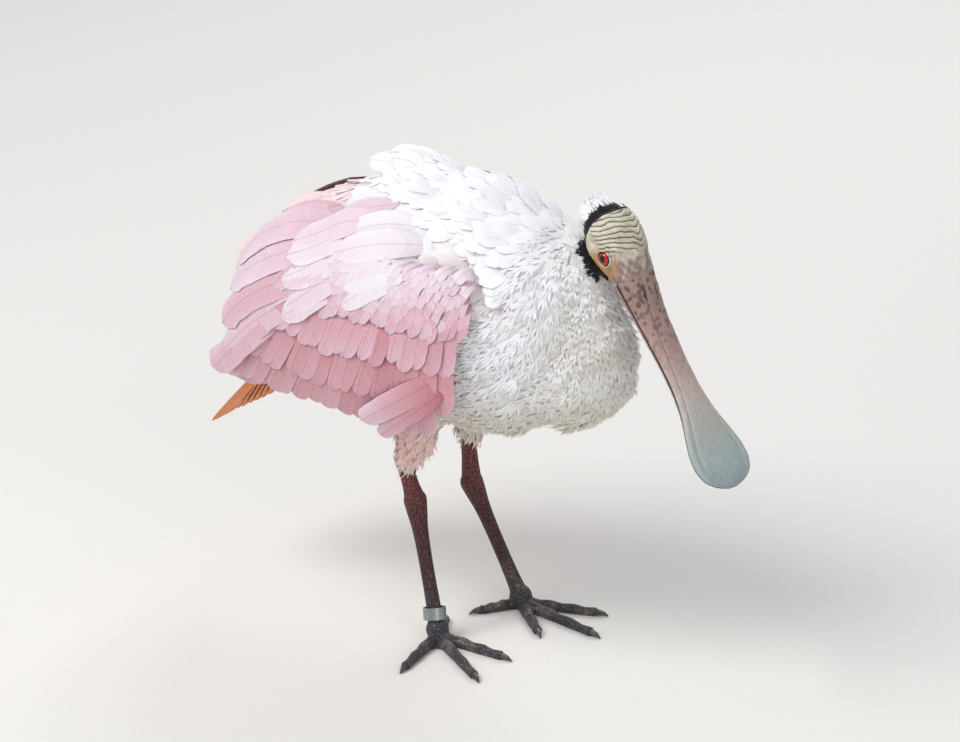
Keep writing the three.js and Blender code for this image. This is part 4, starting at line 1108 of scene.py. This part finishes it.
def wing_path(x, z, side, heading, length, lift, count):
    """Marches over the wing's guide surface from a root, and rises from it towards half way."""
    top, bottom, _ = sizes(WING_GUIDE, [x])[0]
    angle = math.acos(np.clip((2 * z - top - bottom) / (top - bottom), -1, 1))
    shares = tip_shares(count)
    steps = np.r_[np.diff(shares), 0] * length
    points, normals = [], []
    for share, step in zip(shares, steps):
        here = guide_point(x, side * angle)
        by_x = (guide_point(x + 0.5, side * angle) - guide_point(x - 0.5, side * angle))
        by_angle = (guide_point(x, side * (angle + 0.01)) - guide_point(x, side * (angle - 0.01))) / 0.02
        normal = unit(np.cross(by_x, by_angle))
        normal = normal * np.sign(normal @ (here - np.array((here[0], 0, (top + bottom) / 2))))
        rise = blend(lift, smooth(0, 0.45, share))
        points.append(here + normal * rise * smooth(0.15, 0.95, angle))
        normals.append(normal)
        x -= step * math.sin(heading) / max(np.linalg.norm(by_x), 0.2)
        angle += step * math.cos(heading) / max(np.linalg.norm(by_angle), 8)
        angle = min(angle, 3.0)
    return np.array(points), np.array(normals)


def lesser_tiers():
    """Rows of small scale-like coverts, from the wing's middle up to the shoulder."""
    tiers = {}
    for row in range(LESSER_ROWS):
        t = row / (LESSER_ROWS - 1)
        roots = (37 - 3 * t + 3 * (row % 2), -112 + 58 * t)
        tiers[f"lesser_{row}"] = (
            LESSER_COUNT - row, roots, (272 + 29 * t, 280 + 26 * t), (24 - 7 * t, 27 - 8 * t),
            (13 - 4 * t, 13 - 4 * t), (14 + 16 * t, 44 + 10 * t), (-4, 7.0 + 1.2 * t), SHORT,
            (.6 - .42 * t, .4 - .36 * t))
    return tiers


def build_wing(name, side, seed):
    """All feathers of one folded wing, tier over tier, as one mesh."""
    draw = np.random.default_rng(seed)
    gather = Gather()
    tiers = {**{k: TIERS[k] for k in ("primaries", "secondaries", "greater_coverts", "median_coverts")},
             **lesser_tiers(), **TIERS}
    total = sum(tier[0] for tier in tiers.values())
    cells = math.ceil(math.sqrt(total))
    number = 0
    for key, (count, root_x, root_z, lengths, widths, headings, lift, shape, pigment) in tiers.items():
        small = key.startswith("lesser")
        steps = COVERT_STEPS if small else VANE_STEPS
        for i in range(count):
            t = i / max(count - 1, 1)
            jitter = draw.normal(0, 1, 5)
            loose = 1.6 if small else 2.2 if "scap" in key or "tert" in key else 0.8
            x = blend(root_x, t) + loose * jitter[0]
            z = blend(root_z, t) + loose * jitter[1]
            length = blend(lengths, t) * (1 + 0.03 * jitter[2])
            width = blend(widths, t) * (1 + 0.04 * jitter[3])
            heading = math.radians(blend(headings, t) + 2 * loose * jitter[4])
            settle = 1 if key == "thumb" else 1 - 0.65 * smooth(5, 45, x)
            # The topmost long feathers lie close on the back, so nothing stands open above them
            hug = 0.15 + 0.85 * smooth(0, 0.4, t) if "scap" in key or "tert" in key else 1
            rise = (lift[0], lift[1] * settle * hug)
            path, normals = wing_path(x, z, side, heading, length, rise, steps)
            tangent = unit(np.gradient(path, axis=0))
            across = unit(np.cross(normals, tangent))
            lean = -math.radians(COVERT_LEAN if small else VANE_LEAN) * side
            across, up = (math.cos(lean) * across + math.sin(lean) * normals,
                          math.cos(lean) * normals - math.sin(lean) * across)
            half = rounded(shape, width, length, steps)
            front = smooth(-30, 40, x) * (0.12 if small else 0.05)
            tone = (pigment[0] + front, pigment[1] + front)
            vane(gather, path, across, up, half, tone, draw.random(), bake_cell(number, cells), draw,
                 columns=7 if small else 9, camber=0.16 if small else 0.11)
            number += 1
    return gather.build(name)


def build_tail():
    """The short closed tail: a fan of orange vanes that leaves the rump downwards."""
    draw = np.random.default_rng(5)
    gather = Gather()
    root, tip = np.array(TAIL["root"], float), np.array(TAIL["tip"], float)
    way = unit(tip - root)
    length = np.linalg.norm(tip - root)
    count = TAIL["count"]
    for i in range(count):
        t = 2 * i / (count - 1) - 1
        start = root + np.array((0, t * TAIL["spread"] * 0.55, -1.5 * abs(t)))
        fan = math.radians(TAIL["fan"] * t)
        aim = unit(math.cos(fan) * way + math.sin(fan) * np.array((0, 1.0, 0)))
        shares = tip_shares(VANE_STEPS)
        normal = unit(np.cross(np.array((0, 1.0, 0)), aim))
        normal = normal if normal[2] > 0 else -normal
        sag = 3.0 * shares ** 2
        lift = 0.5 * (1 - abs(t)) * 5
        path = start + aim * (shares * length * (1 - 0.05 * abs(t)))[:, None]
        path = path + normal * (lift - sag)[:, None]
        side = np.tile(unit(np.cross(normal, aim)), (VANE_STEPS, 1))
        up = np.tile(normal, (VANE_STEPS, 1))
        half = rounded(LONG, TAIL["width"], length, VANE_STEPS)
        vane(gather, path, side, up, half, (.75, .5), draw.random(), bake_cell(i, 4), draw)
    return gather.build("tail_vanes")


def build_mantle_feathers():
    """The few long white feathers that stand up loosely from the mantle."""
    draw = np.random.default_rng(6)
    gather = Gather()
    for number, (x, y, heading, rise, length) in enumerate(MANTLE):
        half_width = sizes(TRUNK, [x])[0][2]
        angle = math.asin(y / half_width)
        start = trunk_point(x, angle, -MANTLE_ROOT)
        turn = math.radians(heading)
        steps = 12
        shares = tip_shares(steps)
        aim = np.array((-math.cos(turn), math.sin(turn), 0.0))
        height = (rise + MANTLE_ROOT) * smooth(0, 0.6, shares) - 3 * shares ** 2
        path = start + aim * (shares * length)[:, None] + np.array((0, 0, 1.0)) * height[:, None]
        tangent = unit(np.gradient(path, axis=0))
        side = unit(np.cross((0, -0.75, 0.66), tangent))
        up = np.cross(tangent, side)
        half = rounded(SHORT, MANTLE_WIDTH, length, steps)
        vane(gather, path, side, up, half, (.16, .02), draw.random(), bake_cell(number, 3), draw,
             camber=0.2)
    return gather.build("mantle_vanes")


# Bill, eyes and legs

def build_mandible(name, upper):
    """Half of the bill as a fine loft, with ridges, the nostril's slit, and painted shade along the biting
    edge, inside the mouth and in the nostril.
    """
    root = head_point(BILL_ROOT, 0, -MOUTH_BELOW)
    way = unit(BILL_TIP - root)
    bill_up = np.cross(way, HEAD_LEFT)
    length = np.linalg.norm(BILL_TIP - root)
    stations, arch, floor = 230, 60, 24
    shares = np.linspace(0, 1, stations) ** 0.96
    half, above, below = np.moveaxis(sizes(BILL, shares), -1, 0)
    size = above if upper else LOWER_FULLNESS * below
    angle = np.linspace(-np.pi / 2, np.pi / 2, arch)
    back = np.linspace(1, -1, floor + 2)[1:-1]
    y = np.concatenate([np.sin(angle)[None] * half[:, None], back[None] * half[:, None]], 1)
    rise = np.concatenate([np.cos(angle)[None] ** 0.8 * size[:, None], 0 * back[None] * half[:, None]], 1)
    along = shares[:, None] * length
    ridge = np.abs(y) / np.maximum(half[:, None], 1)
    lift = np.zeros_like(y)
    outer = np.concatenate([np.ones(arch), np.zeros(floor)])[None]
    if upper:
        # Two grooves run from the nostrils along the sides to the spoon's rim, with a flat top between
        track = 0.36 + 0.38 * smooth(0.05, 0.8, shares)[:, None]
        lift -= outer * 0.9 * bump(ridge - track, 0.055) * smooth(1.0, 0.8, shares)[:, None]
        lift += outer * 0.35 * bump(ridge - 0.9, 0.06) * smooth(0.5, 0.7, shares)[:, None]
        slit = np.hypot((along - NOSTRIL["along"]) / NOSTRIL["length"],
                        (np.abs(y) - NOSTRIL["out"]) / NOSTRIL["width"])
        lift -= outer * NOSTRIL["depth"] * smooth(1.2, 0.6, slit)
        wrinkle = smooth(0.22, 0.0, shares)[:, None]
        lift += outer * 0.35 * wrinkle * waves(np.stack([along + 0 * y, y, 0 * y], -1), 5, 31)
    coarse = waves(np.stack([along * 0.45 + 0 * y, y, 0 * y], -1), 4, 32)
    lift += outer * 0.14 * coarse * smooth(0.95, 0.5, shares)[:, None]
    edge = 0.5 * MOUTH_GAP
    sign = 1 if upper else -1
    points = (root + way * (along + 0 * y)[..., None] + HEAD_LEFT * y[..., None]
              + bill_up * (sign * (rise + lift * np.clip(rise, 0, 1) + edge))[..., None])
    # Painted shade along the biting edge near the mouth's gap, over the inner floor and in the nostril
    rim = smooth(0.9, 0.4, rise) if upper else smooth(0.4, 0.15, rise)
    dark = outer * rim * smooth(0.72, 0.5, shares)[:, None] + (1 - outer)
    if upper:
        dark = np.maximum(dark, outer * smooth(1.1, 0.7, slit))
    plume = np.stack([shares[:, None] + 0 * y, y, 0 * y], -1)
    gather = Gather()
    gather.add(points, outward(points, tube_faces(stations, arch + floor)),
               plume=plume.reshape(-1, 3), lip=np.clip(dark, 0, 1).ravel())
    return gather.build(name)


def build_eye(name, side):
    """An eyeball with a slightly raised clear front."""
    gather = Gather()
    stations, around = 48, 64
    turn = np.linspace(0.02, np.pi - 0.02, stations)
    angle = np.linspace(0, 2 * np.pi, around, endpoint=False)
    depth = np.cos(turn)[:, None] + 0 * angle
    wide = np.sin(turn)[:, None]
    radius = EYE["radius"] * (1 + 0.05 * smooth(0.75, 0.95, depth))
    along = EYE["along"] + radius * wide * np.cos(angle)
    up = EYE["up"] + radius * wide * np.sin(angle)
    out = side * (EYE["out"] + radius * depth)
    points = head_point(along, out, up)
    ring = np.where(depth > 0, EYE["radius"] * wide + 0 * angle, 10) / 10
    gather.add(points, outward(points, tube_faces(stations, around)), ring=ring.ravel())
    return gather.build(name)


def build_leg(name, nodes):
    """One skin for a leg and foot: copies of their solids, swollen to meet, remeshed and smoothed."""
    meshes = [frame["nodes"][node].data for node in nodes]
    gather = Gather()
    for mesh in meshes:
        keys = {}
        merged = []
        index = []
        for point in read(mesh, "co"):
            key = tuple(np.round(point * 1e6).astype(int))
            if key not in keys:
                keys[key] = len(merged)
                merged.append(point)
            index.append(keys[key])
        faces = [tuple(index[v] for v in face.vertices) for face in mesh.polygons]
        faces = [face for face in faces if len(set(face)) == len(face)]
        points = np.array(merged)
        normals = np.zeros_like(points)
        for face in faces:
            a, b, c = points[list(face[:3])]
            push = np.cross(b - a, c - a)
            for v in face:
                normals[v] += push
        points = points + unit(normals) * LEG_SWELL * MM
        gather.add(points / MM - SHIFT, faces)
    mesh = evened(gather.build(name + " rough"), LEG_GRAIN, 6, 0.5)
    co = read(mesh, "co")
    co[:, 2] = np.maximum(co[:, 2], SOLE_CLEARANCE)
    mesh.vertices.foreach_set("co", co.ravel())
    mesh.name = name
    mesh.shade_smooth()
    return linked(name, mesh)


class SpoonbillPlumage(bpy.types.PropertyGroup):
    """Sizes of the plumage, and the seed of its chance."""

    down_length: bpy.props.FloatProperty(
        name="Down Length", description="Length of a breast tuft, in mm", default=13.0, min=4.0, max=30.0)
    leaf_length: bpy.props.FloatProperty(
        name="Mantle Feather Length", description="Length of a mantle feather, in mm", default=17.0,
        min=6.0, max=40.0)
    curl_length: bpy.props.FloatProperty(
        name="Neck Curl Length", description="Length of a neck tuft, in mm", default=8.0, min=3.0, max=20.0)
    seed: bpy.props.IntProperty(
        name="Seed", description="Number that fixes every random draw of the plumage", default=7)


class SpoonbillStudio(bpy.types.PropertyGroup):
    """Camera and lights."""

    lens: bpy.props.FloatProperty(
        name="Lens", description="Focal length of the camera", default=float(CAMERA["lens"]),
        subtype="DISTANCE_CAMERA")
    key_power: bpy.props.FloatProperty(
        name="Key Power", description="Power of the large soft light", default=46.0, unit="POWER")


class SPOONBILL_OT_skin(bpy.types.Operator):
    """Make the skin of head, neck, trunk and thighs"""

    bl_idname = "spoonbill.skin"
    bl_label = "Skin"

    def execute(self, context):
        finish_piece(build_skin(), face_finish(), "body",
                     "torso", "rump", "neck", "head", "thigh_right", "thigh_left")
        return {"FINISHED"}


class SPOONBILL_OT_coat(bpy.types.Operator):
    """Grow the small feathers and tufts over the skin"""

    bl_idname = "spoonbill.coat"
    bl_label = "Small Plumage"

    def execute(self, context):
        skin = bpy.data.objects["skin"]
        size = context.scene.spoonbill_plumage
        white = down_finish("soft white plumage", "#F4F4F8", "#D6D0C0", "#EFBFBB", 1.0)
        black = down_finish("short black plumage", "#17161B", "#2A272C", "#3A3438", 2.0)
        down = [tuft_mesh(f"down {k}", 8, size.down_length, 1.5, 4.6, 0.8, k) for k in range(4)]
        curls = [tuft_mesh(f"curl {k}", 7, size.curl_length, 1.4, 3.4, 2.0, 20 + k) for k in range(4)]
        leaves = [leaf_mesh(f"leaf {k}", size.leaf_length, 11.5, 0.5, -0.6, 40 + k) for k in range(4)]
        crown = [tuft_mesh(f"crown {k}", 5, 10.0, 1.3, 2.6, 1.0, 60 + k) for k in range(4)]
        short = [tuft_mesh(f"band {k}", 5, 5.0, 1.4, 2.0, 0.3, 80 + k) for k in range(4)]
        for name, growth, feathers, finish, spacing, seed, lift, stray, scales in (
            ("coat_mantle", "grow_mantle", leaves, white, 3.7, 1, 0.05, 0.14, (0.75, 1.2)),
            ("coat_down_right", "grow_right", down, white, 4.4, 2, 0.15, 0.2, (0.7, 1.15)),
            ("coat_down_left", "grow_left", down, white, 4.4, 6, 0.15, 0.2, (0.7, 1.15)),
            ("coat_curls", "grow_curls", curls, white, 3.3, 3, 0.42, 0.3, (0.75, 1.15)),
            ("coat_crown", "grow_crown", crown, white, 2.1, 4, 0.2, 0.3, (0.8, 1.4)),
            ("coat_band", "grow_black", short, black, 1.5, 5, 0.14, 0.2, (0.7, 1.1)),
        ):
            piece = grow_coat(skin, name, growth, feathers, finish, spacing, size.seed + seed, lift, stray,
                              scales)
            finish_piece(piece, None, "body_feathers")
        return {"FINISHED"}


class SPOONBILL_OT_wings(bpy.types.Operator):
    """Make both wings, the tail and the loose mantle feathers"""

    bl_idname = "spoonbill.wings"
    bl_label = "Wings and Tail"

    def execute(self, context):
        pink = vane_finish("pink wing vane", [
            (0.0, "#F1EAF0"), (1.0, "#B4646F"), (0.3, "#E6CBD8"), (0.55, "#D9A9B5"), (0.8, "#C98D96")])
        orange = vane_finish("orange tail vane", [(0.0, "#F3CFA6"), (1.0, "#C4652C"), (0.5, "#E68B4C")])
        white = vane_finish("white mantle vane", [(0.0, "#F4F3F7"), (1.0, "#E5B9B9")])
        for name, side in SIDES.items():
            wing = build_wing("wing_vanes_" + name, side, 30 + side)
            finish_piece(wing, pink, "wing_feathers", "wing_" + name)
        finish_piece(build_tail(), orange, "tail_feathers", "tail")
        finish_piece(build_mantle_feathers(), white, "body_feathers")
        return {"FINISHED"}


class SPOONBILL_OT_bill(bpy.types.Operator):
    """Make the bill and the eyes"""

    bl_idname = "spoonbill.bill"
    bl_label = "Bill and Eyes"

    def execute(self, context):
        horn = bill_finish()
        finish_piece(build_mandible("bill_upper_horn", True), horn, "bill_horn", "bill_upper")
        finish_piece(build_mandible("bill_lower_horn", False), horn, "bill_horn", "bill_lower")
        glass = eye_finish()
        for name, side in SIDES.items():
            finish_piece(build_eye("eyeball_" + name, side), glass, "eye", "eye_" + name)
        return {"FINISHED"}


class SPOONBILL_OT_legs(bpy.types.Operator):
    """Make the skin of legs and feet, and finish the claws and the ring"""

    bl_idname = "spoonbill.legs"
    bl_label = "Legs"

    def execute(self, context):
        scales = leg_finish()
        horn = claw_finish()
        for side in SIDES:
            toes = [f"toe_{side}_{toe}" for toe in ("inner", "middle", "outer", "hind")]
            nodes = [f"tibia_{side}", f"tarsus_{side}", f"foot_{side}", *toes]
            finish_piece(build_leg("leg_skin_" + side, nodes), scales, "leg_skin", *nodes)
            for toe in toes:
                paint(frame["nodes"][toe.replace("toe", "claw")], horn)
        paint(frame["nodes"]["leg_ring"], ring_finish())
        return {"FINISHED"}


class SPOONBILL_OT_studio(bpy.types.Operator):
    """Make the floor, the lights and the camera"""

    bl_idname = "spoonbill.studio"
    bl_label = "Studio"

    def execute(self, context):
        scene = context.scene
        studio = scene.spoonbill_studio
        mesh = bpy.data.meshes.new("floor")
        corners = [(x * FLOOR_REACH, y * FLOOR_REACH, 0) for x, y in ((-1, -1), (1, -1), (1, 1), (-1, 1))]
        mesh.from_pydata(corners, [], [(0, 1, 2, 3)])
        floor = linked("floor", mesh)
        mesh.materials.append(floor_finish("#E9E6E1"))
        world = bpy.data.worlds.new("studio air")
        world.use_nodes = True
        world.node_tree.nodes["Background"].inputs[0].default_value = (*linear("#E6EAF0"), 1)
        world.node_tree.nodes["Background"].inputs[1].default_value = AIR_STRENGTH
        scene.world = world
        scene.view_settings.view_transform = "Standard"
        target = Vector(place(CAMERA["target"]))
        for name, offset, size, power in (
            ("key", (-0.9, -1.5, 2.1), 1.6, studio.key_power),
            ("fill", (2.2, -1.4, 1.0), 2.0, studio.key_power * SIDE_LIGHT),
            ("rim", (-0.6, 2.0, 1.6), 1.4, studio.key_power * SIDE_LIGHT),
        ):
            light = bpy.data.lights.new(name, "AREA")
            light.shape = "DISK"
            light.size = size
            light.energy = power
            lamp = linked(name, light)
            lamp.location = target + Vector(offset)
            lamp.rotation_euler = Vector(offset).to_track_quat("Z", "Y").to_euler()
        camera = bpy.data.cameras.new("camera")
        camera.lens = studio.lens
        camera.sensor_width = 36
        camera.clip_end = 50
        holder = linked("camera", camera)
        azimuth, elevation = math.radians(CAMERA["azimuth"]), math.radians(CAMERA["elevation"])
        toward = Vector((math.sin(azimuth) * math.cos(elevation), -math.cos(azimuth) * math.cos(elevation),
                         math.sin(elevation)))
        holder.location = target + toward * CAMERA["distance"] * MM
        holder.rotation_euler = toward.to_track_quat("Z", "Y").to_euler()
        scene.camera = holder
        return {"FINISHED"}


class SPOONBILL_PT_steps(bpy.types.Panel):
    """The steps that dress the model"""

    bl_idname = "SPOONBILL_PT_steps"
    bl_label = "Spoonbill"
    bl_space_type = "VIEW_3D"
    bl_region_type = "UI"
    bl_category = "Spoonbill"

    def draw(self, context):
        for name in ("down_length", "leaf_length", "curl_length", "seed"):
            self.layout.prop(context.scene.spoonbill_plumage, name)
        for name in ("lens", "key_power"):
            self.layout.prop(context.scene.spoonbill_studio, name)
        for step in STEPS:
            self.layout.operator(step.bl_idname)


STEPS = (
    SPOONBILL_OT_skin, SPOONBILL_OT_coat, SPOONBILL_OT_wings, SPOONBILL_OT_bill, SPOONBILL_OT_legs,
    SPOONBILL_OT_studio,
)
CLASSES = (SpoonbillPlumage, SpoonbillStudio, *STEPS, SPOONBILL_PT_steps)


def register():
    for kind in CLASSES:
        bpy.utils.register_class(kind)
    bpy.types.Scene.spoonbill_plumage = bpy.props.PointerProperty(type=SpoonbillPlumage)
    bpy.types.Scene.spoonbill_studio = bpy.props.PointerProperty(type=SpoonbillStudio)


def unregister():
    del bpy.types.Scene.spoonbill_studio
    del bpy.types.Scene.spoonbill_plumage
    for kind in reversed(CLASSES):
        bpy.utils.unregister_class(kind)


def main():
    """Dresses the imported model."""
    register()
    bpy.ops.spoonbill.skin()
    bpy.ops.spoonbill.coat()
    bpy.ops.spoonbill.wings()
    bpy.ops.spoonbill.bill()
    bpy.ops.spoonbill.legs()
    bpy.ops.spoonbill.studio()


if __name__ == "__main__":
    main()
